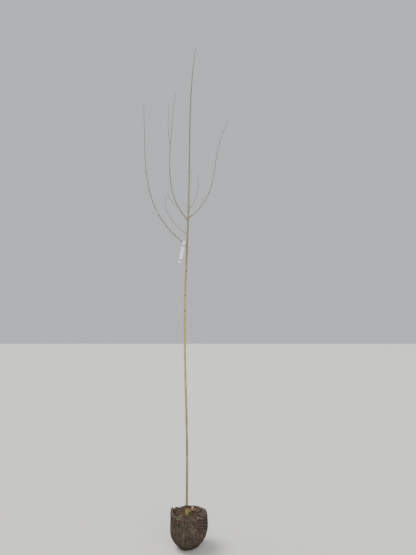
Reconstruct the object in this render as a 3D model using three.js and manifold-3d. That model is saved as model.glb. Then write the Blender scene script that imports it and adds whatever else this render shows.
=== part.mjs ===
// A young standard tree, bare for the winter, standing on its wrapped root ball.
// Millimetres, +Z up. The origin is the middle of the root ball's flat underside.
// +X is to the right and -Y towards the viewer, as the tree is seen from the front.

import * as THREE from 'three';
import { mergeVertices } from 'three/addons/utils/BufferGeometryUtils.js';
import Module from 'manifold-3d';

const wasm = await Module();
wasm.setup();

// Clearance that neighbouring solids keep where they touch
const GAP = 0.3;

// Root ball, wrapped in sacking: a flat foot, a belly and a rolled rim round the soil
const BALL = {
  segments: 36,
  belly: 140,
  foot: 52,
  footLean: 8,
  waist: 142,
  waistLean: 20,
  roundness: 0.74,
  sideHeight: 221,
  rimRound: 17,
  soilRadius: 104,
  soilLevel: 232,
  seatRadius: 46,
  seatLevel: 239,
  sideRings: 11,
  sideSpacing: 1.4,
  rimRings: 4,
};

// Slow waves that make the ball uneven: how many lobes, how deep as a share of the
// radius, where they start, and how fast they lean round the ball as they climb
const BALL_WAVES = [
  { lobes: 3, depth: 0.016, phase: 1.1, lean: 1 / 70 },
  { lobes: 5, depth: 0.011, phase: -0.7, lean: -1 / 45 },
  { lobes: 9, depth: 0.007, phase: 2.3, lean: 1 / 30 },
];

// The gathered corners of the wrapping: where they stand round the rim, and how high
const CORNERS = [
  { angle: 178, height: 27, width: 10 },
  { angle: 50, height: 3, width: 16 },
  { angle: 118, height: 4, width: 18 },
  { angle: 300, height: 4, width: 20 },
];

// Trunk: heights, radii and the shape of its lean
const TRUNK = {
  foot: BALL.seatLevel + GAP,
  tip: 3920,
  crown: 2300,
  footRadius: 8.8,
  crownRadius: 7.6,
  tipRadius: 1.3,
  crownTaper: 0.55,
  flare: 3.8,
  flareHeight: 30,
  footOffset: -18.7,
  footDepth: -26,
  bow: -27.9,
  lean: 32.5,
  curl: 27.7,
  curlPower: 12,
  zigzag: 8.0,
  zigzagTurns: 1.905,
  zigzagPhase: 0.12,
  depthBow: 8,
  sides: 12,
  rings: 46,
  spacing: 1.15,
};

// Boughs, from the lowest up. Each leaves the trunk at its own height and azimuth, and
// climbs by rise. It spreads out by reach, soon turning upright as turn says, and drift
// carries its far end on outwards, or back in where it is negative.
const BOUGHS = [
  {
    name: 'bough_left_long', height: 2241, azimuth: 196, rise: 1145, reach: 332, turn: 4.97,
    drift: 29, driftPower: 1.5, sway: 5, swayTurns: 1.6, radius: 4.6, tipRadius: 1.3, rings: 28,
  },
  {
    name: 'bough_left_short', height: 2330, azimuth: 140, rise: 357, reach: 289, turn: 1.86,
    drift: -38, driftPower: 3.29, sway: 3, swayTurns: 1.1, radius: 3.6, tipRadius: 1.2, rings: 18,
  },
  {
    name: 'bough_left_middle', height: 2445, azimuth: 236, rise: 1005, reach: 245, turn: 8.69,
    drift: -81, driftPower: 3.0, sway: 4, swayTurns: 1.8, radius: 4.3, tipRadius: 1.3, rings: 28,
  },
  {
    name: 'bough_right_long', height: 2463, azimuth: 346, rise: 789, reach: 213, turn: 5.61,
    drift: 121, driftPower: 3.52, sway: 4, swayTurns: 1.4, radius: 4.4, tipRadius: 1.3, rings: 26,
  },
  {
    name: 'bough_right_short', height: 2532, azimuth: 52, rise: 328, reach: 142, turn: 2.44,
    drift: -32, driftPower: 2.52, sway: 3, swayTurns: 1.0, radius: 3.2, tipRadius: 1.1, rings: 16,
  },
];
const BOUGH_SIDES = 8;
const BOUGH_SPACING = 1.5;
const TAPER_POWER = 0.9;
const COLLAR_SWELL = 0.45;
const COLLAR_LENGTH = 0.03;

// Side shoots on the middle left bough: where along it each starts, and its own sweep
const SHOOTS = [
  {
    name: 'shoot_left_low', along: 0.082, azimuth: 205, rise: 98, reach: 84, turn: 2.2,
    drift: 0, driftPower: 2, sway: 2, swayTurns: 0.8, radius: 2.4, tipRadius: 1.0, rings: 12,
  },
  {
    name: 'shoot_left_high', along: 0.55, azimuth: 228, rise: 325, reach: 26, turn: 7,
    drift: 0, driftPower: 2, sway: 2, swayTurns: 0.5, radius: 2.0, tipRadius: 0.9, rings: 16,
  },
];
const SHOOT_PARENT = 'bough_left_middle';
const SHOOT_SIDES = 6;

// Blank plastic label: a strip that lies in front of the lowest bough, with its head
// standing above the bough, held by a loop behind it that rests on the bough
const LABEL = {
  along: 0.0165,
  alongStep: 0.005,
  lean: 12.2,
  width: 24,
  length: 175,
  head: 14,
  thickness: 0.9,
  lap: 0.4,
  loopWidth: 6,
  loopWall: 1.0,
  loopRoom: 1.4,
  loopSides: 20,
};

const finish = (color, roughness) => new THREE.MeshStandardMaterial({ color, roughness, metalness: 0 });
const SOIL = finish(0x4c433d, 0.95);
const BARK = finish(0xa39d84, 0.75);
const YOUNG_BARK = finish(0x847a70, 0.7);
const WHITE_PLASTIC = finish(0xd8d8d2, 0.45);

const radians = THREE.MathUtils.degToRad;

// A closed mesh as a solid that can be cut
function solidOf(geometry) {
  const bare = geometry.clone();
  bare.deleteAttribute('normal');
  bare.deleteAttribute('uv');
  const merged = mergeVertices(bare, 1e-4);
  return new wasm.Manifold(new wasm.Mesh({
    numProp: 3,
    vertProperties: new Float32Array(merged.attributes.position.array),
    triVerts: new Uint32Array(merged.index.array),
  }));
}

// A solid back as a mesh geometry
function geometryOf(solid) {
  const { vertProperties, triVerts } = solid.getMesh();
  return indexedGeometry(Array.from(vertProperties), Array.from(triVerts));
}

// What is left of a limb outside the one that carries it, without slivers of its start
function outerPart(limb, room) {
  const parts = limb.subtract(room).decompose();
  return parts.reduce((most, part) => (part.volume() > most.volume() ? part : most));
}

function indexedGeometry(positions, triangles) {
  const geometry = new THREE.BufferGeometry();
  geometry.setAttribute('position', new THREE.Float32BufferAttribute(positions, 3));
  geometry.setIndex(triangles);
  geometry.computeVertexNormals();
  return geometry;
}

// Closed skin over a stack of rings of equal count, with a pole at each end
function ringSkin(rings, firstPole, lastPole) {
  const sides = rings[0].length;
  const points = [...rings.flat(), firstPole, lastPole];
  const first = points.length - 2;
  const last = points.length - 1;
  const triangles = [];
  for (let side = 0; side < sides; side += 1) {
    const next = (side + 1) % sides;
    triangles.push(first, next, side);
    for (let ring = 0; ring < rings.length - 1; ring += 1) {
      const low = ring * sides;
      const high = low + sides;
      triangles.push(low + side, low + next, high + next);
      triangles.push(low + side, high + next, high + side);
    }
    const top = (rings.length - 1) * sides;
    triangles.push(last, top + side, top + next);
  }
  return indexedGeometry(points.flatMap((point) => point.toArray()), triangles);
}

// A tapering limb: rings of the given radius set square to its centreline, which climbs
function limbSkin(centre, radius, sides, count, spacing, levelFoot) {
  const step = 1e-3;
  const stations = Array.from({ length: count + 1 }, (_, i) => (i / count) ** spacing);
  const rings = stations.map((t) => {
    const middle = centre(t);
    const ahead = centre(Math.min(t + step, 1));
    const behind = centre(Math.max(t - step, 0));
    const along = ahead.sub(behind).normalize();
    if (levelFoot && t === 0) {
      along.set(0, 0, 1);
    }
    const across = new THREE.Vector3(0, 1, 0).cross(along).normalize();
    const upright = along.clone().cross(across);
    return Array.from({ length: sides }, (_, side) => {
      const angle = (2 * Math.PI * side) / sides;
      return middle.clone()
        .addScaledVector(across, radius(t) * Math.cos(angle))
        .addScaledVector(upright, radius(t) * Math.sin(angle));
    });
  });
  return ringSkin(rings, centre(0), centre(1));
}

// Middle of the trunk at a height: it leans, bows, sways one way and back, and curls at the tip
function trunkCentre(height) {
  const share = (height - TRUNK.foot) / (TRUNK.tip - TRUNK.foot);
  const arch = Math.sin(Math.PI * share);
  const wave = Math.sin(2 * Math.PI * TRUNK.zigzagTurns * share + TRUNK.zigzagPhase);
  const curl = TRUNK.curl * share ** TRUNK.curlPower;
  const x = TRUNK.footOffset + TRUNK.lean * share + TRUNK.bow * arch + curl + TRUNK.zigzag * wave;
  const y = TRUNK.footDepth * (1 - share) + TRUNK.depthBow * arch;
  return new THREE.Vector3(x, y, height);
}

// Trunk radius at a height: root flare, a slow taper to the crown, then a quick one to the tip
function trunkRadius(height) {
  const flare = TRUNK.flare * Math.exp(-(height - TRUNK.foot) / TRUNK.flareHeight);
  if (height < TRUNK.crown) {
    const share = (height - TRUNK.foot) / (TRUNK.crown - TRUNK.foot);
    return THREE.MathUtils.lerp(TRUNK.footRadius, TRUNK.crownRadius, share) + flare;
  }
  const left = (TRUNK.tip - height) / (TRUNK.tip - TRUNK.crown);
  return TRUNK.tipRadius + (TRUNK.crownRadius - TRUNK.tipRadius) * Math.max(left, 0) ** TRUNK.crownTaper;
}

function trunkSkin(extra) {
  const heightAt = (t) => THREE.MathUtils.lerp(TRUNK.foot, TRUNK.tip, t);
  return limbSkin(
    (t) => trunkCentre(heightAt(t)),
    (t) => trunkRadius(heightAt(t)) + extra,
    TRUNK.sides,
    TRUNK.rings,
    TRUNK.spacing,
    true,
  );
}

// Middle of a bough or shoot, from its start inside what carries it, t from 0 to 1
function sweepCentre(limb, start) {
  const out = new THREE.Vector3(Math.cos(radians(limb.azimuth)), Math.sin(radians(limb.azimuth)), 0);
  const aside = new THREE.Vector3(-out.y, out.x, 0);
  return (t) => {
    const spread = limb.reach * (1 - (1 - t) ** limb.turn) + limb.drift * t ** limb.driftPower;
    const sway = limb.sway * t * Math.sin(2 * Math.PI * limb.swayTurns * t);
    return start.clone()
      .addScaledVector(out, spread)
      .addScaledVector(aside, sway)
      .add(new THREE.Vector3(0, 0, limb.rise * t));
  };
}

// Radius of a bough or shoot: an even taper, swollen at the collar where it starts
function sweepRadius(limb, extra) {
  return (t) => {
    const taper = THREE.MathUtils.lerp(limb.radius, limb.tipRadius, t ** TAPER_POWER);
    return taper * (1 + COLLAR_SWELL * Math.exp(-t / COLLAR_LENGTH)) + extra;
  };
}

function sweepSkin(limb, start, sides, extra) {
  const centre = sweepCentre(limb, start);
  return limbSkin(centre, sweepRadius(limb, extra), sides, limb.rings, BOUGH_SPACING, false);
}

// How far the root ball bulges at an angle and a height, as a share of its radius
function ballUnevenness(angle, height) {
  return BALL_WAVES.reduce(
    (sum, wave) => sum + wave.depth * Math.sin(wave.lobes * angle + wave.phase + wave.lean * height),
    0,
  );
}

// How far the gathered corners lift the rim at an angle
function cornerLift(angle) {
  return CORNERS.reduce((sum, corner) => {
    const turned = angle - radians(corner.angle);
    const apart = Math.atan2(Math.sin(turned), Math.cos(turned));
    return sum + corner.height * Math.exp(-((apart / radians(corner.width)) ** 2));
  }, 0);
}

// Radius of the ball's side at a height and an angle: it bulges lower down on the left
function ballRadius(angle, height) {
  const leftward = -Math.cos(angle);
  const foot = BALL.foot + BALL.footLean * leftward;
  const waist = BALL.waist - BALL.waistLean * leftward;
  const climb = Math.min(height / waist, 1);
  const round = (1 - (1 - climb) ** 2) ** BALL.roundness;
  return (foot + (BALL.belly - foot) * round) * (1 + ballUnevenness(angle, height));
}

function ballSkin() {
  const angles = Array.from({ length: BALL.segments }, (_, i) => (2 * Math.PI * i) / BALL.segments);
  const up = new THREE.Vector3(0, 0, 1);
  const point = (angle, radius, height) => new THREE.Vector3(radius, 0, height).applyAxisAngle(up, angle);
  const rings = [];
  for (let i = 0; i <= BALL.sideRings; i += 1) {
    const height = BALL.sideHeight * (i / BALL.sideRings) ** BALL.sideSpacing;
    rings.push(angles.map((angle) => point(angle, ballRadius(angle, height), height)));
  }
  for (let i = 1; i <= BALL.rimRings; i += 1) {
    const turn = (Math.PI / 2) * (i / BALL.rimRings);
    rings.push(angles.map((angle) => {
      const shoulder = ballRadius(angle, BALL.sideHeight) - BALL.rimRound;
      const height = BALL.sideHeight + (BALL.rimRound + cornerLift(angle)) * Math.sin(turn);
      return point(angle, shoulder + BALL.rimRound * Math.cos(turn), height);
    }));
  }
  rings.push(angles.map((angle) => {
    const radius = BALL.soilRadius * (1 + ballUnevenness(angle, 0));
    return point(angle, radius, BALL.soilLevel);
  }));
  rings.push(angles.map((angle) => point(angle, BALL.seatRadius, BALL.seatLevel)));
  const underside = new THREE.Vector3(0, 0, 0);
  const seat = new THREE.Vector3(0, 0, BALL.seatLevel);
  return ringSkin(rings, underside, seat);
}

// The label: a loop set square to the bough and resting on it, with the strip across its front
function labelSolid(centre, azimuth, boughRadius, boughRoom) {
  const inner = boughRadius + LABEL.loopRoom;
  const outer = inner + LABEL.loopWall;
  const hold = centre(LABEL.along);
  const ahead = centre(LABEL.along + LABEL.alongStep);
  const behind = centre(LABEL.along - LABEL.alongStep);
  const along = ahead.sub(behind).normalize();
  const below = new THREE.Vector3(0, 0, -1).projectOnPlane(along).normalize();

  const outline = new THREE.Shape().absarc(0, 0, outer, 0, 2 * Math.PI);
  outline.holes.push(new THREE.Path().absarc(0, 0, inner, 0, 2 * Math.PI, true));
  const loop = new THREE.ExtrudeGeometry(outline, {
    depth: LABEL.loopWidth, bevelEnabled: false, curveSegments: LABEL.loopSides,
  });
  loop.translate(0, 0, -LABEL.loopWidth / 2);
  const seat = hold.clone().addScaledVector(below, LABEL.loopRoom - GAP);
  const turn = new THREE.Quaternion().setFromUnitVectors(new THREE.Vector3(0, 0, 1), along);
  loop.applyQuaternion(turn).translate(seat.x, seat.y, seat.z);

  const strip = new THREE.BoxGeometry(LABEL.width, LABEL.thickness, LABEL.length);
  strip.translate(0, LABEL.lap - outer - LABEL.thickness / 2, LABEL.head - LABEL.length / 2);
  strip.rotateY(radians(LABEL.lean));
  strip.rotateZ(radians(azimuth - 180));
  strip.translate(seat.x, seat.y, seat.z);
  return geometryOf(solidOf(loop).add(solidOf(strip)).subtract(boughRoom));
}

const tree = new THREE.Group();

function addPiece(name, geometry, material) {
  const mesh = new THREE.Mesh(geometry, material);
  mesh.name = name;
  tree.add(mesh);
}

addPiece('root_ball', ballSkin(), SOIL);
addPiece('trunk', trunkSkin(0), BARK);

const trunkRoom = solidOf(trunkSkin(GAP));
for (const bough of BOUGHS) {
  const start = trunkCentre(bough.height);
  const whole = solidOf(sweepSkin(bough, start, BOUGH_SIDES, 0));
  addPiece(bough.name, geometryOf(outerPart(whole, trunkRoom)), YOUNG_BARK);
}

const carrier = BOUGHS.find((bough) => bough.name === SHOOT_PARENT);
const carrierStart = trunkCentre(carrier.height);
const carrierRoom = solidOf(sweepSkin(carrier, carrierStart, BOUGH_SIDES, GAP));
for (const shoot of SHOOTS) {
  const start = sweepCentre(carrier, carrierStart)(shoot.along);
  const whole = solidOf(sweepSkin(shoot, start, SHOOT_SIDES, 0));
  addPiece(shoot.name, geometryOf(outerPart(whole, carrierRoom)), YOUNG_BARK);
}

const labelled = BOUGHS[0];
const labelledStart = trunkCentre(labelled.height);
const labelledRoom = solidOf(sweepSkin(labelled, labelledStart, BOUGH_SIDES, GAP));
const labelledRadius = sweepRadius(labelled, 0)(LABEL.along);
const labelledCentre = sweepCentre(labelled, labelledStart);
const label = labelSolid(labelledCentre, labelled.azimuth, labelledRadius, labelledRoom);
addPiece('label', label, WHITE_PLASTIC);

export default tree;
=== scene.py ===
"""A bare young tree on its wrapped root ball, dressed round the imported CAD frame.

Metres, +Z up, -Y towards the viewer, and the root ball stands on z = 0. Each class is one
sub-assembly with its sizes as fields, and each finish is a frozen dataclass that builds its
own node material. What repeats, such as buds, lenticels, net, twine, crumbs and moss, is made
by Geometry Nodes trees that this script builds.
"""

import logging
import math
from dataclasses import dataclass, field
from enum import Enum
from typing import Any

import bpy
import numpy as np
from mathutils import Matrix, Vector, noise


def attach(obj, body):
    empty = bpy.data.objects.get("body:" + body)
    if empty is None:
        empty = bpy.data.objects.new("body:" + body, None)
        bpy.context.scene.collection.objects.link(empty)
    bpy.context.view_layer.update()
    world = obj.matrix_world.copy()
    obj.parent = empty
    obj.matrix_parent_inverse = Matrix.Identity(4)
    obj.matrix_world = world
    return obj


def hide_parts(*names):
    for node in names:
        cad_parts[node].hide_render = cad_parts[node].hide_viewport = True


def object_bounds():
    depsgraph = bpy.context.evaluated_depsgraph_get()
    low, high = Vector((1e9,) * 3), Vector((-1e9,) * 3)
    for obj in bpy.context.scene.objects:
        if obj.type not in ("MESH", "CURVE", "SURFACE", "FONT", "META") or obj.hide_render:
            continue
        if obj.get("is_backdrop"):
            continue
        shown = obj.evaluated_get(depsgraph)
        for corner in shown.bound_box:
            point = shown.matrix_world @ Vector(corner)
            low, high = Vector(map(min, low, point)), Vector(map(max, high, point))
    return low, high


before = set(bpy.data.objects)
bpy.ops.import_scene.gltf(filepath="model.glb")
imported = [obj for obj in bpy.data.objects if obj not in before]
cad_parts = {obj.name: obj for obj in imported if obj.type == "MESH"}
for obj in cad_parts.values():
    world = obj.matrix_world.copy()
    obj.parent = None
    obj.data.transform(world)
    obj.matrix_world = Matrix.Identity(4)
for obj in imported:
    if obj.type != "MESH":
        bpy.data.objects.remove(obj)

LOG = logging.getLogger("sapling")
Array = np.ndarray
Colour = tuple[int, int, int]
Marks = dict[str, Array]
Material = bpy.types.Material
Piece = bpy.types.Object
Socket = bpy.types.NodeSocket
BODY = "root"
TURN = 2.0 * math.pi
GOLDEN_ANGLE = math.radians(137.5)
UP = np.array([0.0, 0.0, 1.0])
WHITE = (255, 255, 255)


class Slot(Enum):
    """The record's material slots."""

    ROOT_BALL = "root_ball"
    BARK = "bark"
    YOUNG_BARK = "young_bark"
    LABEL = "label"


class Coordinates(Enum):
    """The coordinates that a pattern is laid out on."""

    OBJECT = "Object"
    OWN_UV = "UV"


class Paint(Enum):
    """The ways in which one colour goes over another."""

    COVER = "MIX"
    DARKEN = "MULTIPLY"


def unit(vectors: Array) -> Array:
    """Return the vectors scaled to length one."""
    return vectors / np.linalg.norm(vectors, axis=-1, keepdims=True)


def blend(low: Any, high: Any, share: Any) -> Any:
    """Return the value that lies a share of the way from low to high."""
    return low + (high - low) * share


def progress(value: Any, start: Any, end: Any) -> Array:
    """Return how far a value has come from a start to an end, from 0 to 1."""
    return np.clip((value - start) / (end - start), 0.0, 1.0)


def ease(value: Any, start: Any = 0.0, end: Any = 1.0) -> Array:
    """Return the same progress with a soft start and end."""
    share = progress(value, start, end)
    return share * share * (3.0 - 2.0 * share)


def bell(distance: Array) -> Array:
    """Return a bell curve of a distance counted in widths."""
    return np.exp(-(distance**2))


def swell(phase: Array) -> Array:
    """Return a sine wave that runs between 0 and 1."""
    return 0.5 + 0.5 * np.sin(phase)


def apart(angles: Array, angle: float) -> Array:
    """Return how far the angles lie from one angle, from -pi to pi."""
    turned = angles - angle
    return np.arctan2(np.sin(turned), np.cos(turned))


def facing(angles: Array, azimuth: float, spread: float) -> Array:
    """Return how near each angle lies to an azimuth in degrees, as a bell curve."""
    return bell(apart(angles, math.radians(azimuth)) / spread)


def round_angles(count: int) -> Array:
    """Return a number of angles evenly round a full turn."""
    return np.arange(count) * TURN / count


def level(angles: Any) -> Array:
    """Return the level direction at each angle."""
    return np.stack([np.cos(angles), np.sin(angles), 0.0 * angles], axis=-1)


def polar(radii: Any, angles: Any, heights: Any) -> Array:
    """Return the point at each distance from the middle, angle and height."""
    return np.stack(np.broadcast_arrays(radii * np.cos(angles), radii * np.sin(angles), heights), axis=-1)


def ripple(points: Array, scale: float, seed: float) -> Array:
    """Return smooth noise of about -1 to 1 at each point, of a number of bumps for each metre."""
    flat = (points.reshape(-1, 3) * scale + seed).tolist()
    return np.array([noise.noise(place) for place in flat]).reshape(points.shape[:-1])


def runs_along(line: Array) -> Array:
    """Return how far along a line, or along the rows of a grid, its points lie."""
    steps = np.linalg.norm(np.diff(line, axis=0), axis=-1).reshape(len(line) - 1, -1).mean(axis=1)
    return np.concatenate([[0.0], np.cumsum(steps)])


def resample(line: Array, gap: float) -> Array:
    """Space the points of a line evenly and round off its corners.

    Args:
        line: Its points.
        gap: Distance from one new point to the next.

    Returns:
        The new points.
    """
    runs = runs_along(line)
    even = np.linspace(0.0, runs[-1], int(runs[-1] / gap) + 2)
    points = np.stack([np.interp(even, runs, line[:, axis]) for axis in range(3)], axis=-1)
    points[1:-1] = (points[:-2] + 2.0 * points[1:-1] + points[2:]) / 4.0
    return points


def frames(centres: Array) -> tuple[Array, Array, Array]:
    """Carry a square frame along a centreline without twisting it.

    Args:
        centres: Points of the centreline, one row each.

    Returns:
        The directions along, across and upright at each point.
    """
    nearly_parallel = 0.2
    along = unit(np.gradient(centres, axis=0))
    start = np.cross([0.0, 1.0, 0.0], along[0])
    if np.linalg.norm(start) < nearly_parallel:
        start = np.cross([1.0, 0.0, 0.0], along[0])
    across = np.empty_like(centres)
    across[0] = unit(start)
    for i in range(1, len(centres)):
        across[i] = unit(across[i - 1] - along[i] * (along[i] @ across[i - 1]))
    return along, across, np.cross(along, across)


def outward(grid: Array) -> Array:
    """Return the outward direction at each point of a grid whose last column meets its first."""
    around = np.roll(grid, -1, axis=1) - np.roll(grid, 1, axis=1)
    return unit(np.cross(around, np.gradient(grid, axis=0)))


def cells(rows: int, columns: int) -> Array:
    """Return the row and column of each corner of each cell of a grid, cell by cell."""
    corners = np.array([[0, 0], [0, 1], [1, 1], [1, 0]])
    return np.stack(np.indices((rows, columns)), axis=-1).reshape(-1, 1, 2) + corners


def there_and_back(front: Array, back: Array) -> Array:
    """Return the rows of one grid, then those of another in reverse."""
    return np.concatenate([front, back[::-1]])


def linear(colour: Colour) -> tuple[float, float, float, float]:
    """Turn an sRGB colour into linear light.

    Args:
        colour: Its channels, from 0 to 255.

    Returns:
        The linear channels, with full alpha.
    """
    shares = [channel / 255.0 for channel in colour]
    light = [s / 12.92 if s <= 0.04045 else ((s + 0.055) / 1.055) ** 2.4 for s in shares]
    return (light[0], light[1], light[2], 1.0)


def place(name: str, mesh: bpy.types.Mesh) -> Piece:
    """Link a mesh into the scene at the origin.

    Args:
        name: Name of its object.
        mesh: The mesh.

    Returns:
        The object.
    """
    thing = bpy.data.objects.new(name, mesh)
    bpy.context.scene.collection.objects.link(thing)
    return thing


def publish(piece: Piece, slot: Slot, *nodes: str) -> None:
    """Tie a finished piece to the frame and report it.

    Args:
        piece: The finished piece.
        slot: The record's material slot of its finish; not used.
        nodes: The CAD nodes that it stands for.
    """
    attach(piece, BODY)
    if nodes:
        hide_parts(*nodes)
    piece.data.calc_loop_triangles()
    LOG.info("%s: %d triangles", piece.name, len(piece.data.loop_triangles))


@dataclass(frozen=True)
class Room:
    """The CAD model's box, which every finished point keeps inside."""

    low: Array
    high: Array
    margin: float = 0.0002

    def keep(self, points: Array) -> Array:
        """Return the points moved just inside the box."""
        return np.clip(points, self.low + self.margin, self.high - self.margin)

    def holds(self, points: Array, spare: float) -> bool:
        """Tell whether every point lies inside the box by a spare distance."""
        return bool(((points >= self.low + spare) & (points <= self.high - spare)).all())


class MeshBatch:
    """Points, faces, UVs and marks that grow, shape by shape, into one mesh."""

    def __init__(self) -> None:
        """Start an empty batch."""
        self.points: list[Array] = []
        self.faces: list[list[int]] = []
        self.uvs: list[Array] = []
        self.marks: dict[str, list[Array]] = {}
        self.count = 0

    def add(
        self, points: Array, faces: list[list[int]], uvs: Array | None = None, marks: Marks | None = None
    ) -> None:
        """Add one shape, which has UVs and marks where the batch's other shapes have them.

        Args:
            points: Its vertices.
            faces: Vertex numbers of each face, counted from the shape's own first vertex.
            uvs: One UV pair for each corner of each face, in order.
            marks: Named values for each vertex, for the materials to read.
        """
        self.points.append(points)
        self.faces += [[corner + self.count for corner in face] for face in faces]
        if uvs is not None:
            self.uvs.append(uvs)
        for name, values in (marks or {}).items():
            self.marks.setdefault(name, []).append(values)
        self.count += len(points)

    def add_grid(
        self, grid: Array, corners: Array, poles: bool = False,
        uvs: Array | None = None, marks: Marks | None = None,
    ) -> None:
        """Add a shape whose vertices are laid out as a grid.

        Args:
            grid: Rows by columns, with the columns anticlockwise as seen from the last row.
            corners: Row and column of each corner of each face, which may run on round the grid.
            poles: Whether the first and last rows close, each in a point in its middle.
            uvs: UV pair of each grid point, with one more column if the columns run on.
            marks: Named values for each row, or for each grid point.
        """
        rows, columns = grid.shape[:2]
        row, column = corners[..., 0] % rows, corners[..., 1]
        faces = (row * columns + column % columns).tolist()
        picked = None if uvs is None else uvs[row, column].reshape(-1, 2)
        points = grid.reshape(-1, 3)
        if poles:
            near = np.arange(columns)
            far = (near + 1) % columns
            pole = rows * columns
            last = pole - columns
            faces += np.stack([0 * near + pole, far, near], axis=-1).tolist()
            faces += np.stack([0 * near + pole + 1, last + near, last + far], axis=-1).tolist()
            points = np.concatenate([points, [grid[0].mean(axis=0), grid[-1].mean(axis=0)]])
            if picked is not None:
                picked = np.concatenate([picked, np.zeros((6 * columns, 2))])
        full = {}
        for name, values in (marks or {}).items():
            spread = np.broadcast_to(values.reshape(rows, -1), (rows, columns))
            full[name] = np.append(spread, [spread[0].mean(), spread[-1].mean()] if poles else [])
        self.add(points, faces, picked, full)

    def add_tube(self, centres: Array, radii: Array, sides: int, marks: Marks | None = None) -> None:
        """Add a closed tube along a centreline.

        Args:
            centres: Points of the centreline.
            radii: Radius at each point, or at each point and side.
            sides: Number of sides.
            marks: Named values for each point, or for each point and side.
        """
        _, across, upright = frames(centres)
        angles = round_angles(sides)[:, None]
        ring = across[:, None] * np.cos(angles) + upright[:, None] * np.sin(angles)
        grid = centres[:, None] + ring * radii.reshape(len(centres), -1, 1)
        self.add_grid(grid, cells(len(centres) - 1, sides), poles=True, marks=marks)

    def add_sheet(
        self, front: Array, back: Array, uvs: Array | None = None, marks: Marks | None = None,
        wraps: bool = False, poles: bool = False,
    ) -> None:
        """Add a thin closed sheet between two grids of points.

        Args:
            front: Outer grid, rows by columns, with the rows climbing and columns anticlockwise.
            back: Inner grid of the same size.
            uvs: UV pair of each grid point, with one more column than the grid if it wraps.
            marks: Named values for each grid point.
            wraps: Whether the last column joins the first.
            poles: Whether the first row of each grid closes in one point in its middle.
        """
        rows, columns = front.shape[:2]
        last = 2 * rows - 1
        corners = cells(last if poles else last + 1, columns if wraps else columns - 1)
        # A face splits from its first corner, so those of the back start where they split like the front's.
        behind = (corners[:, 0, 0] >= rows) & (corners[:, 0, 0] < last)
        corners[behind] = np.roll(corners[behind], -1, axis=1)
        if not wraps:
            low = np.arange(rows - 1)
            side = np.stack([low, low + 1, last - 1 - low, last - low], axis=-1)
            left = np.stack([side, 0 * side], axis=-1)
            right = np.stack([side[:, ::-1], 0 * side + columns - 1], axis=-1)
            corners = np.concatenate([corners, left, right])
        both_uvs = None if uvs is None else there_and_back(uvs, uvs)
        both_marks = {name: there_and_back(values, values) for name, values in (marks or {}).items()}
        self.add_grid(there_and_back(front, back), corners, poles, both_uvs, both_marks)

    def build(self, name: str, material: Material | None = None, room: Room | None = None) -> Piece:
        """Make the mesh and its object.

        Args:
            name: Name of the piece.
            material: Its finish.
            room: The box that its points keep inside.

        Returns:
            The object, at the origin.
        """
        points = np.concatenate(self.points)
        if room is not None:
            points = room.keep(points)
        mesh = bpy.data.meshes.new(name)
        mesh.from_pydata(points.tolist(), [], self.faces)
        if self.uvs:
            layer = mesh.uv_layers.new(name="UVMap")
            layer.data.foreach_set("uv", np.concatenate(self.uvs).reshape(-1))
        for mark, parts in self.marks.items():
            attribute = mesh.attributes.new(mark, "FLOAT", "POINT")
            attribute.data.foreach_set("value", np.concatenate(parts))
        if material is not None:
            mesh.materials.append(material)
        mesh.shade_smooth()
        return place(name, mesh)


def one_tube(centres: Array, radii: Array, sides: int) -> MeshBatch:
    """Make a batch that holds one tube, for a small shape that repeats.

    Args:
        centres: Points of its centreline.
        radii: Radius at each point, or at each point and side.
        sides: Number of sides.

    Returns:
        The batch.
    """
    batch = MeshBatch()
    batch.add_tube(centres, radii, sides)
    return batch


class Graph:
    """Nodes and links under construction in one tree."""

    def __init__(self, tree: bpy.types.NodeTree) -> None:
        """Take the tree to build in."""
        self.tree = tree

    def add(self, kind: str, inputs: dict[Any, Any] | None = None, **settings: Any) -> bpy.types.Node:
        """Add one node.

        Args:
            kind: Blender's name of the node's type.
            inputs: Values or sockets for its inputs, by name or number.
            settings: Its own settings.

        Returns:
            The node.
        """
        node = self.tree.nodes.new(kind)
        for name, value in settings.items():
            setattr(node, name, value)
        for name, value in (inputs or {}).items():
            if isinstance(value, bpy.types.NodeSocket):
                self.tree.links.new(value, node.inputs[name])
            else:
                node.inputs[name].default_value = value
        return node

    def get(self, kind: str, output: Any, inputs: dict[Any, Any] | None = None, **settings: Any) -> Socket:
        """Add one node and return its output of a name or number."""
        return self.add(kind, inputs, **settings).outputs[output]

    def math(self, operation: str, left: Any, right: Any = 0.0) -> Socket:
        """Return the result of one sum on two values."""
        return self.get("ShaderNodeMath", 0, {0: left, 1: right}, operation=operation)

    def times(self, left: Any, right: Any) -> Socket:
        """Return the product of two values."""
        return self.math("MULTIPLY", left, right)

    def split(self, vector: Socket) -> bpy.types.NodeOutputs:
        """Return the X, Y and Z of a vector, by name."""
        return self.add("ShaderNodeSeparateXYZ", {"Vector": vector}).outputs


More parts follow.
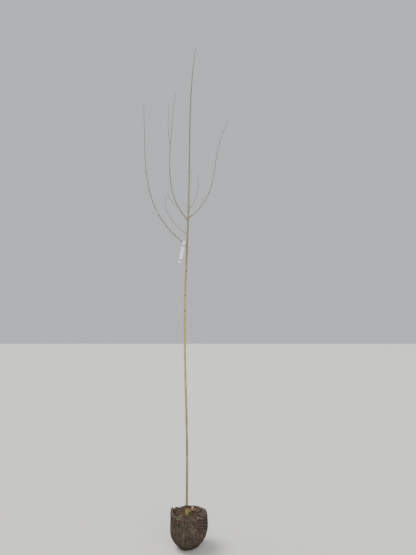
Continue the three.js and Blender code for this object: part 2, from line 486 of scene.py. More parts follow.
class ShaderGraph(Graph):
    """A node material under construction round one Principled shader."""

    def __init__(self, name: str, roughness: float, specular: float = 0.4) -> None:
        """Start a material.

        Args:
            name: Its name.
            roughness: Roughness of the shader, unless something is linked to it later.
            specular: Specular level of the shader.
        """
        self.material = bpy.data.materials.new(name)
        self.material.use_nodes = True
        super().__init__(self.material.node_tree)
        self.shader = self.tree.nodes["Principled BSDF"]
        self.shader.inputs["Roughness"].default_value = roughness
        self.shader.inputs["Specular IOR Level"].default_value = specular

    def coordinates(
        self, kind: Coordinates, stretch: tuple[float, float, float] = (1.0, 1.0, 1.0)
    ) -> Socket:
        """Return the piece's own coordinates, stretched along each axis."""
        source = self.get("ShaderNodeTexCoord", kind.value)
        return self.get("ShaderNodeMapping", "Vector", {"Vector": source, "Scale": stretch})

    def noise(self, scale: float, detail: float, stretch: float) -> Socket:
        """Lay out noise on Object coordinates.

        Args:
            scale: Bumps for each metre.
            detail: How many finer layers lie on them.
            stretch: How many times closer together the bumps lie along Z.

        Returns:
            The noise, from about 0 to 1.
        """
        vector = self.coordinates(Coordinates.OBJECT, (1.0, 1.0, stretch))
        inputs = {"Vector": vector, "Scale": scale, "Detail": detail}
        return self.get("ShaderNodeTexNoise", "Fac", inputs)

    def ramp(self, share: Socket, stops: list[tuple[float, Colour]]) -> Socket:
        """Pick a colour from a row of stops.

        Args:
            share: How far along the row it is picked.
            stops: Share and colour of each stop.

        Returns:
            The colour.
        """
        node = self.add("ShaderNodeValToRGB", {"Fac": share})
        elements = node.color_ramp.elements
        while len(elements) < len(stops):
            elements.new(0.5)
        for element, (position, colour) in zip(elements, stops):
            element.position = position
            element.color = linear(colour)
        return node.outputs["Color"]

    def span(self, value: Socket, low: float, high: float) -> Socket:
        """Return how far a value lies between two limits, from 0 to 1."""
        return self.get("ShaderNodeMapRange", "Result", {"Value": value, "From Min": low, "From Max": high})

    def mix(self, under: Any, over: Any, share: Any, paint: Paint = Paint.COVER) -> Socket:
        """Lay one colour over another.

        Args:
            under: The lower colour, plain or as a socket.
            over: The upper colour, plain or as a socket.
            share: How much of the upper one shows.
            paint: How it goes on.

        Returns:
            The new colour.
        """
        low, high = [linear(colour) if isinstance(colour, tuple) else colour for colour in (under, over)]
        inputs = {0: share, 6: low, 7: high}
        return self.get("ShaderNodeMix", 2, inputs, data_type="RGBA", blend_type=paint.value)

    def shade(
        self, colour: Socket, share: Socket, ends: tuple[float, float], dark: Colour, strength: float
    ) -> Socket:
        """Return a colour darkened where a pattern falls from its second end to its first."""
        shade = self.ramp(share, [(ends[0], dark), (ends[1], WHITE)])
        return self.mix(colour, shade, strength, Paint.DARKEN)

    def mark(self, name: str) -> Socket:
        """Return a named mark that the piece's vertices carry."""
        return self.get("ShaderNodeAttribute", "Fac", attribute_name=name)

    def bump(self, height: Socket, strength: float, depth: float) -> None:
        """Add relief on top of any that is there already.

        Args:
            height: Height from 0 to 1.
            strength: Share of the relief that shows.
            depth: Real height of the relief.
        """
        inputs = {"Height": height, "Strength": strength, "Distance": depth}
        node = self.add("ShaderNodeBump", inputs)
        normal = self.shader.inputs["Normal"]
        if normal.is_linked:
            self.tree.links.new(normal.links[0].from_socket, node.inputs["Normal"])
        self.tree.links.new(node.outputs["Normal"], normal)

    def finish(self, colour: Socket) -> Material:
        """Link the colour and return the material."""
        self.tree.links.new(colour, self.shader.inputs["Base Color"])
        return self.material


@dataclass(frozen=True)
class BarkFinish:
    """Smooth cream-tan trunk bark: it darkens upwards, and is pinkish and mossy at its foot."""

    low: float = 0.24
    high: float = 3.92
    stops: tuple[tuple[float, Colour], ...] = (
        (0.24, (148, 120, 92)),
        (0.32, (146, 130, 98)),
        (0.50, (136, 128, 95)),
        (0.75, (156, 148, 110)),
        (1.00, (172, 161, 114)),
        (1.40, (200, 184, 128)),
        (1.75, (204, 194, 124)),
        (2.00, (184, 175, 108)),
        (2.20, (150, 138, 92)),
        (2.45, (150, 139, 104)),
        (2.70, (166, 154, 126)),
        (3.20, (148, 137, 122)),
        (3.92, (122, 108, 98)),
    )
    scar: Colour = (98, 64, 50)
    crack: Colour = (56, 36, 29)
    algae: Colour = (128, 146, 82)
    lenticel: Colour = (206, 198, 168)
    worn: Colour = (158, 140, 112)
    fleck: Colour = (112, 96, 72)

    def build(self) -> Material:
        """Build the node material.

        Returns:
            The material.
        """
        graph = ShaderGraph("trunk_bark", 0.62)
        height = graph.split(graph.coordinates(Coordinates.OBJECT))["Z"]
        share = graph.span(height, self.low, self.high)
        tall = self.high - self.low
        colour = graph.ramp(share, [((stop - self.low) / tall, tint) for stop, tint in self.stops])
        blotches = graph.noise(55.0, 4.0, 0.3)
        colour = graph.shade(colour, blotches, (0.3, 0.7), (196, 186, 176), 0.75)
        drifts = graph.noise(19.0, 3.0, 0.5)
        colour = graph.mix(colour, self.worn, graph.span(drifts, 0.56, 0.72))
        streaks = graph.noise(620.0, 3.0, 0.06)
        colour = graph.shade(colour, streaks, (0.36, 0.62), (178, 168, 154), 0.7)
        dash = graph.span(graph.noise(260.0, 1.0, 3.4), 0.66, 0.72)
        faint = graph.times(dash, graph.span(share, 1.3, -0.1))
        colour = graph.mix(colour, self.lenticel, graph.times(faint, 0.55))
        film = graph.times(graph.span(graph.noise(34.0, 4.0, 0.5), 0.52, 0.72), 0.35)
        low_down = graph.times(film, graph.span(height, 1.5, 0.3))
        colour = graph.mix(colour, self.algae, graph.math("MAXIMUM", low_down, graph.mark("algae")))
        flecks = graph.span(graph.noise(1300.0, 1.0, 0.6), 0.64, 0.72)
        colour = graph.mix(colour, self.fleck, graph.times(flecks, 0.4))
        rough = graph.noise(430.0, 4.0, 0.6)
        ragged = graph.math("ADD", graph.times(rough, 2.4), -0.2)
        scar = graph.times(graph.mark("scar"), ragged)
        halo = graph.times(graph.span(scar, 0.14, 0.24), 0.4)
        colour = graph.mix(colour, self.lenticel, halo)
        heart = graph.ramp(rough, [(0.36, self.crack), (0.62, self.scar)])
        colour = graph.mix(colour, heart, graph.span(scar, 0.26, 0.56))
        sheen = graph.get("ShaderNodeMapRange", "Result", {"Value": blotches, "To Min": 0.5, "To Max": 0.78})
        graph.tree.links.new(sheen, graph.shader.inputs["Roughness"])
        graph.bump(streaks, 0.35, 0.0003)
        graph.bump(dash, 0.5, 0.0002)
        graph.bump(rough, 0.35, 0.0004)
        return graph.finish(colour)


@dataclass(frozen=True)
class TwigFinish:
    """Taupe bark of the boughs and twigs: greyer at the base, redder towards the tips."""

    tip: Colour = (136, 112, 100)
    base: Colour = (162, 148, 132)
    scar: Colour = (84, 58, 48)
    speck: Colour = (190, 176, 158)
    seam: Colour = (154, 142, 104)

    def build(self) -> Material:
        """Build the node material.

        Returns:
            The material.
        """
        graph = ShaderGraph("young_bark", 0.58)
        colour = graph.mix(self.tip, self.base, graph.mark("age"))
        colour = graph.mix(colour, self.seam, graph.mark("seam"))
        blotches = graph.noise(90.0, 4.0, 0.4)
        colour = graph.shade(colour, blotches, (0.32, 0.68), (168, 154, 144), 0.8)
        speck = graph.span(graph.noise(900.0, 1.0, 0.5), 0.7, 0.76)
        colour = graph.mix(colour, self.speck, graph.times(speck, 0.6))
        colour = graph.mix(colour, self.scar, graph.mark("scar"))
        graph.bump(graph.noise(800.0, 2.0, 0.1), 0.3, 0.0002)
        graph.bump(speck, 0.5, 0.0002)
        return graph.finish(colour)


@dataclass(frozen=True)
class PlainFinish:
    """A natural surface of one base colour that drifts to a darker one in soft patches."""

    name: str
    light: Colour
    dark: Colour
    patches: float
    roughness: float
    relief: float = 0.0003

    def build(self) -> Material:
        """Build the node material.

        Returns:
            The material.
        """
        graph = ShaderGraph(self.name, self.roughness, 0.3)
        patches = graph.noise(self.patches, 4.0, 1.0)
        graph.bump(patches, 0.5, self.relief)
        return graph.finish(graph.ramp(patches, [(0.35, self.dark), (0.65, self.light)]))


@dataclass(frozen=True)
class SackingFinish:
    """Dark, damp, weathered sacking: a coarse weave with stains, streaks of fading, pale patches of painted
    highlight and painted shade in its deep folds.
    """

    damp: Colour = (60, 51, 46)
    worn: Colour = (98, 87, 76)
    mauve: Colour = (84, 72, 74)
    # Pale straw colour of the streaks of fading and of the painted highlights.
    straw: Colour = (134, 124, 96)
    soil: Colour = (46, 36, 30)
    # Painted shade: the dark colour laid into the deep folds, where shade falls.
    hollow: Colour = (38, 30, 27)
    pitch: float = 0.0021

    def build(self) -> Material:
        """Build the node material.

        Returns:
            The material.
        """
        graph = ShaderGraph("sacking", 0.92, 0.2)
        where = graph.split(graph.coordinates(Coordinates.OBJECT))
        height = graph.span(where["Z"], 0.02, 0.24)
        stains = graph.noise(34.0, 5.0, 0.7)
        # The colour is lighter towards the top and darker towards the bottom, and drifts with stains.
        stains_and_height = graph.math("ADD", graph.times(height, 0.25), graph.times(stains, 0.9))
        colour = graph.mix(self.damp, self.worn, graph.span(stains_and_height, 0.36, 0.80))
        right = graph.times(graph.span(where["X"], -0.02, 0.13), 0.6)
        colour = graph.mix(colour, self.mauve, right)
        streaks = graph.noise(95.0, 3.0, 0.3)
        faded = graph.times(graph.span(streaks, 0.52, 0.78), 0.42)
        # Straw-pale streaks of real fading, joined with the painted highlights that the vertices carry.
        colour = graph.mix(colour, self.straw, graph.math("MAXIMUM", faded, graph.mark("faded")))
        spots = graph.noise(62.0, 4.0, 0.6)
        colour = graph.shade(colour, spots, (0.36, 0.58), (166, 156, 150), 0.8)
        # Painted shade darkens the sacking in its deep folds.
        colour = graph.mix(colour, self.hollow, graph.mark("hollow"))
        dusty = graph.times(graph.mark("soiled"), graph.span(spots, 0.68, 0.34))
        colour = graph.mix(colour, self.soil, dusty)
        threads = 1.0 / self.pitch
        cloth = graph.coordinates(Coordinates.OWN_UV, (threads, threads, 1.0))
        ways = graph.split(cloth)
        ridges = [
            graph.math("ABSOLUTE", graph.math("SINE", graph.times(ways[axis], math.pi))) for axis in "XY"
        ]
        checks = graph.get("ShaderNodeTexChecker", "Fac", {"Vector": cloth, "Scale": 1.0})
        weave = graph.mix(*ridges, checks)
        colour = graph.shade(colour, weave, (0.1, 0.6), (150, 142, 138), 0.7)
        graph.bump(weave, 0.6, 0.0006)
        graph.bump(streaks, 0.4, 0.0008)
        return graph.finish(colour)


@dataclass(frozen=True)
class PlasticFinish:
    """Satin white plastic with three plain grey-blue bands, a slot painted dark as painted shade, and fine
    scuffs.
    """

    white: Colour = (246, 246, 243)
    band: Colour = (62, 68, 84)
    bands: tuple[tuple[float, float], ...] = ((0.027, 0.032), (0.038, 0.045), (0.150, 0.159))
    # Painted shade: the slot is no cut, only a dark stroke where an opening would show shadow.
    slot: Colour = (34, 34, 38)
    slot_run: float = 0.0095
    slot_reach: float = 0.0042
    slot_half: float = 0.0009
    plain_run: float = 0.08

    def build(self) -> Material:
        """Build the node material.

        Returns:
            The material.
        """
        graph = ShaderGraph("white_plastic", 0.42, 0.5)
        where = graph.split(graph.coordinates(Coordinates.OWN_UV))
        cover: Any = 0.0
        for start, end in self.bands:
            after = graph.math("GREATER_THAN", where["Y"], start)
            before = graph.math("LESS_THAN", where["Y"], end)
            cover = graph.math("MAXIMUM", cover, graph.times(after, before))
        colour = graph.mix(self.white, self.band, graph.times(cover, 0.92))
        # The slot's painted shade: a dark stroke across the middle, near the top.
        beside = graph.math("LESS_THAN", graph.math("ABSOLUTE", where["X"]), self.slot_reach)
        off = graph.math("ABSOLUTE", graph.math("SUBTRACT", where["Y"], self.slot_run))
        within = graph.math("LESS_THAN", off, self.slot_half)
        colour = graph.mix(colour, self.slot, graph.times(beside, within))
        colour = graph.shade(colour, graph.noise(70.0, 5.0, 1.0), (0.35, 0.6), (222, 221, 214), 0.6)
        graph.bump(graph.noise(900.0, 2.0, 0.2), 0.15, 0.0001)
        return graph.finish(colour)


@dataclass(frozen=True)
class FloorFinish:
    """Plain pale matt floor."""

    colour: Colour = (206, 203, 198)

    def build(self) -> Material:
        """Build the node material.

        Returns:
            The material.
        """
        graph = ShaderGraph("pale_floor", 0.9, 0.2)
        graph.shader.inputs["Base Color"].default_value = linear(self.colour)
        return graph.material


class GeometryTree(Graph):
    """A Geometry Nodes tree with named inputs."""

    def __init__(self, name: str, material: Material) -> None:
        """Start a tree that takes and gives geometry.

        Args:
            name: Its name.
            material: The finish of what it gives.
        """
        super().__init__(bpy.data.node_groups.new(name, "GeometryNodeTree"))
        for way in ("INPUT", "OUTPUT"):
            self.tree.interface.new_socket("Geometry", in_out=way, socket_type="NodeSocketGeometry")
        self.entry = self.tree.nodes.new("NodeGroupInput")
        self.material = material
        self.identifiers: dict[str, str] = {}

    @property
    def source(self) -> Socket:
        """Return the geometry that the tree starts from."""
        return self.entry.outputs["Geometry"]

    def take(self, name: str, kind: str, value: Any = None) -> Socket:
        """Add a named input.

        Args:
            name: Its name.
            kind: Blender's name of the socket's type, without its NodeSocket.
            value: Its value unless a modifier sets another.

        Returns:
            The socket inside the tree.
        """
        item = self.tree.interface.new_socket(name, in_out="INPUT", socket_type="NodeSocket" + kind)
        if value is not None:
            item.default_value = value
        self.identifiers[name] = item.identifier
        return self.entry.outputs[name]

    def attribute(self, name: str, kind: str) -> Socket:
        """Return a named attribute of the points, of one of Blender's data types."""
        return self.get("GeometryNodeInputNamedAttribute", "Attribute", {"Name": name}, data_type=kind)

    def close(self, geometry: Socket) -> None:
        """End the tree: realize the instances, smooth them and set their material.

        Args:
            geometry: What the tree gives.
        """
        real = self.get("GeometryNodeRealizeInstances", 0, {"Geometry": geometry})
        smooth = self.get("GeometryNodeSetShadeSmooth", 0, {"Geometry": real})
        dressed = self.get("GeometryNodeSetMaterial", 0, {"Geometry": smooth, "Material": self.material})
        self.add("NodeGroupOutput", {"Geometry": dressed})

    def grow(self, name: str, source: Piece, values: dict[str, Any], room: Room) -> Piece:
        """Run the tree on an object and keep the result as a plain mesh.

        Args:
            name: Name of the new piece.
            source: The object that the tree starts from, which is removed.
            values: Values of the named inputs.
            room: The box that the points keep inside.

        Returns:
            The new object.
        """
        modifier = source.modifiers.new(self.tree.name, "NODES")
        modifier.node_group = self.tree
        for key, value in values.items():
            modifier[self.identifiers[key]] = value
        depsgraph = bpy.context.evaluated_depsgraph_get()
        mesh = bpy.data.meshes.new_from_object(source.evaluated_get(depsgraph))
        source.modifiers.remove(modifier)
        bpy.data.objects.remove(source)
        mesh.name = name
        points = np.empty(len(mesh.vertices) * 3)
        mesh.vertices.foreach_get("co", points)
        mesh.vertices.foreach_set("co", room.keep(points.reshape(-1, 3)).reshape(-1))
        mesh.update()
        return place(name, mesh)


class CopyTree(GeometryTree):
    """Sets copies of one small shape on points."""

    def __init__(self, name: str, material: Material) -> None:
        """Start a tree that takes the shape."""
        super().__init__(name, material)
        self.shape = self.take("Shape", "Object")

    def copies(self, points: Socket, rotation: Socket, scale: Socket) -> Socket:
        """Set a copy on each point.

        Args:
            points: The points.
            rotation: Rotation of each copy.
            scale: Size of each copy.

        Returns:
            The copies, as instances.
        """
        info = self.get("GeometryNodeObjectInfo", "Geometry", {"Object": self.shape})
        inputs = {"Points": points, "Instance": info, "Rotation": rotation, "Scale": scale}
        return self.get("GeometryNodeInstanceOnPoints", "Instances", inputs)

    def strew(self, name: str, source: Piece, shape: MeshBatch, values: dict[str, Any], room: Room) -> Piece:
        """Grow a piece from copies of one small shape.

        Args:
            name: Name of the new piece.
            source: The object that the tree starts from, which is removed.
            shape: The small shape.
            values: Values of the other named inputs.
            room: The box that the points keep inside.

        Returns:
            The new object.
        """
        seed = shape.build(name + "_shape", self.material)
        piece = self.grow(name, source, {"Shape": seed, **values}, room)
        bpy.data.objects.remove(seed)
        return piece


class ScatterTree(CopyTree):
    """Sets one copy on each point, turned and sized as the point says."""

    def __init__(self, name: str, material: Material) -> None:
        """Build the tree.

        Args:
            name: Its name.
            material: The copies' finish.
        """
        super().__init__(name, material)
        turn = self.attribute("turn", "FLOAT_VECTOR")
        self.close(self.copies(self.source, turn, self.attribute("scale", "FLOAT")))


class CoverTree(CopyTree):
    """Strews copies over a surface at random, in many sizes and turned at random."""

    def __init__(self, name: str, material: Material, upright: bool) -> None:
        """Build the tree.

        Args:
            name: Its name.
            material: Its material.
            upright: Whether the copies stand square to the surface, or tumble freely.
        """
        super().__init__(name, material)
        density = self.take("Density", "Float", 1000.0)
        smallest = self.take("Smallest", "Float", 0.5)
        largest = self.take("Largest", "Float", 1.0)
        lean = self.take("Lean", "Float", 0.4)
        seed = self.take("Seed", "Int", 1)
        inputs = {"Mesh": self.source, "Density": density, "Seed": seed}
        spread = self.add("GeometryNodeDistributePointsOnFaces", inputs)
        inputs = {2: smallest, 3: largest, "Seed": seed}
        sizes = self.get("FunctionNodeRandomValue", 1, inputs, data_type="FLOAT")
        inputs = {0: self.times(lean, -1.0), 1: lean, "Seed": seed}
        leans = self.get("FunctionNodeRandomValue", 0, inputs, data_type="FLOAT_VECTOR")
        turns = spread.outputs["Rotation"] if upright else leans
        result = self.copies(spread.outputs["Points"], turns, sizes)
        if upright:
            result = self.get("GeometryNodeRotateInstances", 0, {"Instances": result, "Rotation": leans})
        self.close(result)


class CordTree(GeometryTree):
    """Sweeps a twisted, lobed strand along each line, with a knot where a point asks for one."""

    def __init__(self, name: str, material: Material) -> None:
        """Build the tree.

        Args:
            name: Its name.
            material: The strands' finish.
        """
        super().__init__(name, material)
        radius = self.take("Radius", "Float", 0.001)
        sides = self.take("Sides", "Int", 6)
        lobes = self.take("Lobe Depth", "Float", 0.0)
        twist = self.take("Twist", "Float", 0.0)
        knot = self.take("Knot Radius", "Float", 0.0)
        profile = self.lobed_circle(radius, sides, lobes)
        strand = self.get("GeometryNodeMeshToCurve", "Curve", {"Mesh": self.source})
        tilt = self.times(self.get("GeometryNodeSplineParameter", "Length"), twist)
        tilted = self.get("GeometryNodeSetCurveTilt", 0, {"Curve": strand, "Tilt": tilt})
        inputs = {"Curve": tilted, "Profile Curve": profile, "Fill Caps": True}
        swept = self.get("GeometryNodeCurveToMesh", "Mesh", inputs)
        inputs = {"A": self.attribute("knot", "FLOAT"), "B": 0.5}
        picked = self.get("FunctionNodeCompare", "Result", inputs, operation="GREATER_THAN")
        ball = self.get("GeometryNodeMeshIcoSphere", "Mesh", {"Radius": knot, "Subdivisions": 2})
        inputs = {"Points": self.source, "Selection": picked, "Instance": ball}
        knots = self.get("GeometryNodeInstanceOnPoints", "Instances", inputs)
        both = self.add("GeometryNodeJoinGeometry")
        for part in (swept, knots):
            self.tree.links.new(part, both.inputs[0])
        self.close(both.outputs[0])

    def lobed_circle(self, radius: Socket, sides: Socket, lobes: Socket) -> Socket:
        """Draw the strand's section: a circle that swells out in three lobes.

        Args:
            radius: Its mean radius.
            sides: Number of its sides.
            lobes: Depth of the lobes as a share of the radius.

        Returns:
            The section, as a curve.
        """
        inputs = {"Resolution": sides, "Radius": radius}
        circle = self.get("GeometryNodeCurvePrimitiveCircle", "Curve", inputs)
        where = self.get("GeometryNodeInputPosition", 0)
        ways = self.split(where)
        thrice = self.times(self.math("ARCTAN2", ways["Y"], ways["X"]), 3.0)
        inputs = {0: where, "Scale": self.times(self.math("COSINE", thrice), lobes)}
        offset = self.get("ShaderNodeVectorMath", 0, inputs, operation="SCALE")
        return self.get("GeometryNodeSetPosition", 0, {"Geometry": circle, "Offset": offset})

    def lay(
        self, name: str, lines: list[Array], values: dict[str, Any], room: Room,
        closed: bool = False, knots: Array | None = None,
    ) -> None:
        """Lay strands along lines on the root ball and tie them to the frame.

        Args:
            name: Name of the piece.
            lines: Points of each line.
            values: Values of the named inputs.
            room: The box that the points keep inside.
            closed: Whether each line joins its own start.
            knots: Points that carry a knot.
        """
        points: list[list[float]] = []
        edges: list[tuple[int, int]] = []
        for line in lines:
            start = len(points)
            points += line.tolist()
            edges += [(i, i + 1) for i in range(start, len(points) - 1)]
            if closed:
                edges.append((len(points) - 1, start))
        first_knot = len(points)
        if knots is not None:
            points += knots.tolist()
        mesh = bpy.data.meshes.new(name)
        mesh.from_pydata(points, edges, [])
        mark = mesh.attributes.new("knot", "FLOAT", "POINT")
        mark.data.foreach_set("value", (np.arange(len(points)) >= first_knot).astype(float))
        publish(self.grow(name, place(name + "_lines", mesh), values, room), Slot.ROOT_BALL)


@dataclass
class Foothold:
    """Places on limbs that buds or lenticels grow from, gathered for one scatter."""

    points: list[Array] = field(default_factory=list)
    turns: list[Array] = field(default_factory=list)
    scales: list[float] = field(default_factory=list)

    def add(self, point: Array, way: Array, scale: float) -> None:
        """Add one place.

        Args:
            point: Where it is.
            way: The direction that the shape's own +Z takes there.
            scale: Size of the shape there.
        """
        turn = Vector(way.tolist()).to_track_quat("Z", "Y").to_euler()
        self.points.append(point)
        self.turns.append(np.array(turn))
        self.scales.append(scale)

    def scatter(self, name: str, shape: MeshBatch, material: Material, slot: Slot, room: Room) -> None:
        """Set one shape on every place and tie the piece to the frame.

        Args:
            name: Name of the piece.
            shape: The small shape.
            material: Its finish.
            slot: The record's material slot of its finish.
            room: The box that the points keep inside.
        """
        mesh = bpy.data.meshes.new(name)
        mesh.from_pydata([point.tolist() for point in self.points], [], [])
        turn = mesh.attributes.new("turn", "FLOAT_VECTOR", "POINT")
        turn.data.foreach_set("vector", np.concatenate(self.turns))
        scale = mesh.attributes.new("scale", "FLOAT", "POINT")
        scale.data.foreach_set("value", np.array(self.scales))
        tree = ScatterTree(name + "_scatter", material)
        publish(tree.strew(name, place(name + "_places", mesh), shape, {}, room), slot)


@dataclass(frozen=True)
class Knot:
    """One healed knot or old bud scar on the trunk, with its azimuth in degrees."""

    height: float
    azimuth: float
    length: float = 0.008
    width: float = 0.006
    proud: float = 0.0008
    dark: float = 0.9
    ringed: float = 1.0


@dataclass
class Trunk:
    """The trunk: a slender tapering stem that leans, bows and curls at its tip."""

    room: Room
    foot: float = 0.2393
    tip: float = 3.92
    crown: float = 2.3
    foot_radius: float = 0.0088
    crown_radius: float = 0.0076
    tip_radius: float = 0.0013
    crown_taper: float = 0.55
    flare: float = 0.0038
    flare_height: float = 0.03
    foot_offset: float = -0.0187
    foot_depth: float = -0.026
    bow: float = -0.0279
    lean: float = 0.0325
    curl: float = 0.0277
    curl_power: float = 12.0
    zigzag: float = 0.008
    zigzag_turns: float = 1.905
    zigzag_phase: float = 0.12
    depth_bow: float = 0.008
    sides: int = 34
    ring_gap: float = 0.0045
    fine_gap: float = 0.0011
    fine_reach: float = 0.013
    knots: tuple[Knot, ...] = (
        Knot(2.041, -52, 0.019, 0.0115, 0.0015, 1.0),
        Knot(1.849, -84, 0.015, 0.0110, 0.0012, 1.0),
        Knot(1.795, 186, 0.010, 0.008, 0.0040, 0.25, 0.6),
        Knot(1.725, -95, 0.014, 0.0105, 0.0011, 1.0),
        Knot(1.471, -70, 0.011, 0.008, 0.0010, 0.9),
        Knot(1.009, -100, 0.012, 0.008, 0.0011),
        Knot(0.816, -80, 0.009, 0.007, 0.0009, 0.8),
        Knot(0.772, -115, 0.007, 0.006, 0.0008, 0.7),
        Knot(0.627, -85, 0.011, 0.008, 0.0010, 0.7),
        Knot(2.472, -95, 0.016, 0.008, 0.0014, 0.7),
        Knot(2.586, -70, 0.010, 0.006, 0.0010),
        Knot(2.867, -100, 0.009, 0.005, 0.0009),
        Knot(2.925, -60, 0.014, 0.005, 0.0007, 0.5),
        Knot(1.610, 80, 0.009, 0.006, 0.0011),
        Knot(1.210, 120, 0.010, 0.007, 0.0012),
        Knot(0.910, 40, 0.008, 0.006, 0.0009),
        Knot(0.520, 150, 0.009, 0.006, 0.0010),
        Knot(2.180, 100, 0.011, 0.007, 0.0012),
    )
    scar_gap: float = 0.062
    first_scar: float = 0.09
    last_scar: float = 0.04
    stub_height: float = 1.04
    stub_azimuth: float = 188.0
    stub_rise: float = 0.55
    stub_length: float = 0.007
    stub_radius: float = 0.0023
    lenticels: int = 760
    lenticel_length: float = 0.0020
    lenticel_height: float = 0.0002
    flutes: int = 5
    flute_depth: float = 0.0011
    flute_height: float = 0.07
    algae_height: float = 0.05
    bud_room: float = 0.0045

    def centre(self, height: Any) -> Array:
        """Find the middle of the trunk.

        Args:
            height: One or more heights.

        Returns:
            The point at each height.
        """
        share = (height - self.foot) / (self.tip - self.foot)
        arch = np.sin(math.pi * share)
        zigzag = self.zigzag * np.sin(TURN * self.zigzag_turns * share + self.zigzag_phase)
        curl = self.curl * np.clip(share, 0.0, 1.0) ** self.curl_power
        x = self.foot_offset + self.lean * share + self.bow * arch + curl + zigzag
        y = self.foot_depth * (1.0 - share) + self.depth_bow * arch
        return np.stack([x, y, height], axis=-1)

    def girth(self, height: Any) -> Array:
        """Work out the trunk's radius, without its bark relief.

        Args:
            height: One or more heights.

        Returns:
            The radius at each height.
        """
        flare = self.flare * np.exp(-(height - self.foot) / self.flare_height)
        share = (height - self.foot) / (self.crown - self.foot)
        lower = blend(self.foot_radius, self.crown_radius, share) + flare
        left = progress(height, self.tip, self.crown)
        upper = self.tip_radius + (self.crown_radius - self.tip_radius) * left**self.crown_taper
        return np.where(height < self.crown, lower, upper)

    def marks(self, rng: np.random.Generator, collars: list[tuple[float, float]]) -> list[Knot]:
        """List every knot: the named ones, old bud scars by rule, and a collar under each bough.

        Args:
            rng: Source of the uneven gaps between the bud scars.
            collars: Height and azimuth of each collar.

        Returns:
            The knots.
        """
        found = list(self.knots)
        height = self.foot + self.first_scar
        turn = 0.0
        while height < self.tip - self.last_scar:
            slender = float(self.girth(height)) / self.foot_radius
            proud = 0.00055 * slender + 0.0001
            found.append(Knot(height, math.degrees(turn), 0.0042, 0.0085 * slender, proud, 0.5))
            turn += GOLDEN_ANGLE
            height += self.scar_gap * blend(0.6, 1.0, slender) * rng.uniform(0.85, 1.15)
        return found + [Knot(*collar, 0.016, 0.0085, 0.0027, 0.12, 0.0) for collar in collars]

    def heights(self, marks: list[Knot]) -> Array:
        """Space out the rings: evenly, and closer together at each mark.

        Args:
            marks: Every knot on the trunk.

        Returns:
            The height of each ring.
        """
        near = np.arange(-self.fine_reach, self.fine_reach, self.fine_gap)
        end = self.tip - self.bud_room
        rows = [np.arange(self.foot, self.tip, self.ring_gap), *(near + mark.height for mark in marks)]
        every = np.sort(np.concatenate([*rows, [end]]))
        every = every[(every >= self.foot) & (every <= end)]
        kept = [every[0]]
        for height in every[1:]:
            if height - kept[-1] > self.fine_gap * 0.6:
                kept.append(height)
        kept[-1] = end
        return np.array(kept)

    def build(self, collars: list[tuple[float, float]]) -> None:
        """Build the bark and its lenticels and tie them to the frame.

        Args:
            collars: Height and azimuth, in degrees, where each bough leaves the trunk.
        """
        rng = np.random.default_rng(41)
        marks = self.marks(rng, collars)
        rings = self.heights(marks)
        heights = rings[:, None]
        angles = round_angles(self.sides)
        girth = self.girth(heights)
        radii = np.repeat(girth, self.sides, axis=1)
        scar = np.zeros_like(radii)
        for mark in marks:
            up = (heights - mark.height) / mark.length
            across = apart(angles, math.radians(mark.azimuth)) * girth / mark.width
            far = np.sqrt(up**2 + across**2)
            ridges = 0.22 * np.sin(far * 8.0) * bell(far / 1.4) - 0.95 * bell(far / 0.36)
            radii += 1.25 * mark.proud * (bell(far) + mark.ringed * ridges)
            scar = np.maximum(scar, mark.dark * (bell(far / 0.6) + 0.3 * bell((far - 1.05) / 0.2)))
        rise = heights - self.foot
        fluted = self.flute_depth * np.exp(-rise / self.flute_height)
        radii += fluted * np.sin(self.flutes * angles + 1.0 + 12.0 * rise)
        around = polar(0.009, angles, heights * 0.35)
        radii *= 1.0 + 0.03 * ripple(around, 160.0, 3.0) + 0.015 * ripple(around, 480.0, 9.0)
        algae = 0.9 * progress(rise, self.algae_height, 0.0) * facing(angles, -105.0, 1.5)
        batch = MeshBatch()
        batch.add_tube(self.centre(rings), radii, self.sides, {"scar": scar, "algae": algae})
        self.add_stub(batch)
        bark = BarkFinish().build()
        publish(batch.build("trunk_bark", bark, self.room), Slot.BARK, "trunk")
        self.build_lenticels(rng, bark)

    def add_stub(self, batch: MeshBatch) -> None:
        """Add the short pruned stub, with its rim rolled over the cut.

        Args:
            batch: The trunk's batch.
        """
        way = unit(level(math.radians(self.stub_azimuth)) + UP * self.stub_rise)
        steps = np.array([0.3, 0.7, 0.95, 1.0, 1.0])
        sunk = float(self.girth(self.stub_height)) * 0.7
        centres = self.centre(self.stub_height) + way * (sunk + self.stub_length * steps)[:, None]
        centres[-1] += way * 0.0004
        radii = self.stub_radius * np.array([1.35, 1.0, 1.06, 0.85, 0.4])
        scar = np.array([0.0, 0.1, 0.4, 1.0, 1.0])
        batch.add_tube(centres, radii, 10, {"scar": scar, "algae": 0.0 * scar})

    def build_lenticels(self, rng: np.random.Generator, bark: Material) -> None:
        """Strew small raised lenticels over the trunk.

        Args:
            rng: Source of their places and sizes.
            bark: Their finish.
        """
        places = Foothold()
        heights = rng.uniform(self.foot + 0.03, self.crown + 1.2, self.lenticels)
        ways = level(rng.uniform(0.0, TURN, self.lenticels))
        radii = self.girth(heights)
        points = self.centre(heights) + ways * (radii * 0.985)[:, None]
        scales = radii / self.foot_radius * rng.uniform(0.6, 1.2, self.lenticels)
        for point, way, scale in zip(points, ways, scales):
            places.add(point, way, scale)
        angles = round_angles(8)
        oval = self.lenticel_length / 2.0 * np.hypot(np.cos(angles), 0.35 * np.sin(angles))
        profile = self.lenticel_height * np.array([-1.0, 0.4, 1.0])
        shape = one_tube(UP * profile[:, None], np.outer([1.0, 0.75, 0.3], oval), 8)
        places.scatter("lenticels", shape, bark, Slot.BARK, self.room)


@dataclass(frozen=True, eq=False)
class Bud:
    """Where a bud or a twig grows: on which limb, how far along it, and which way out and on."""

    point: Array
    outward: Array
    onward: Array
    radius: float = 0.0
    share: float = 0.0


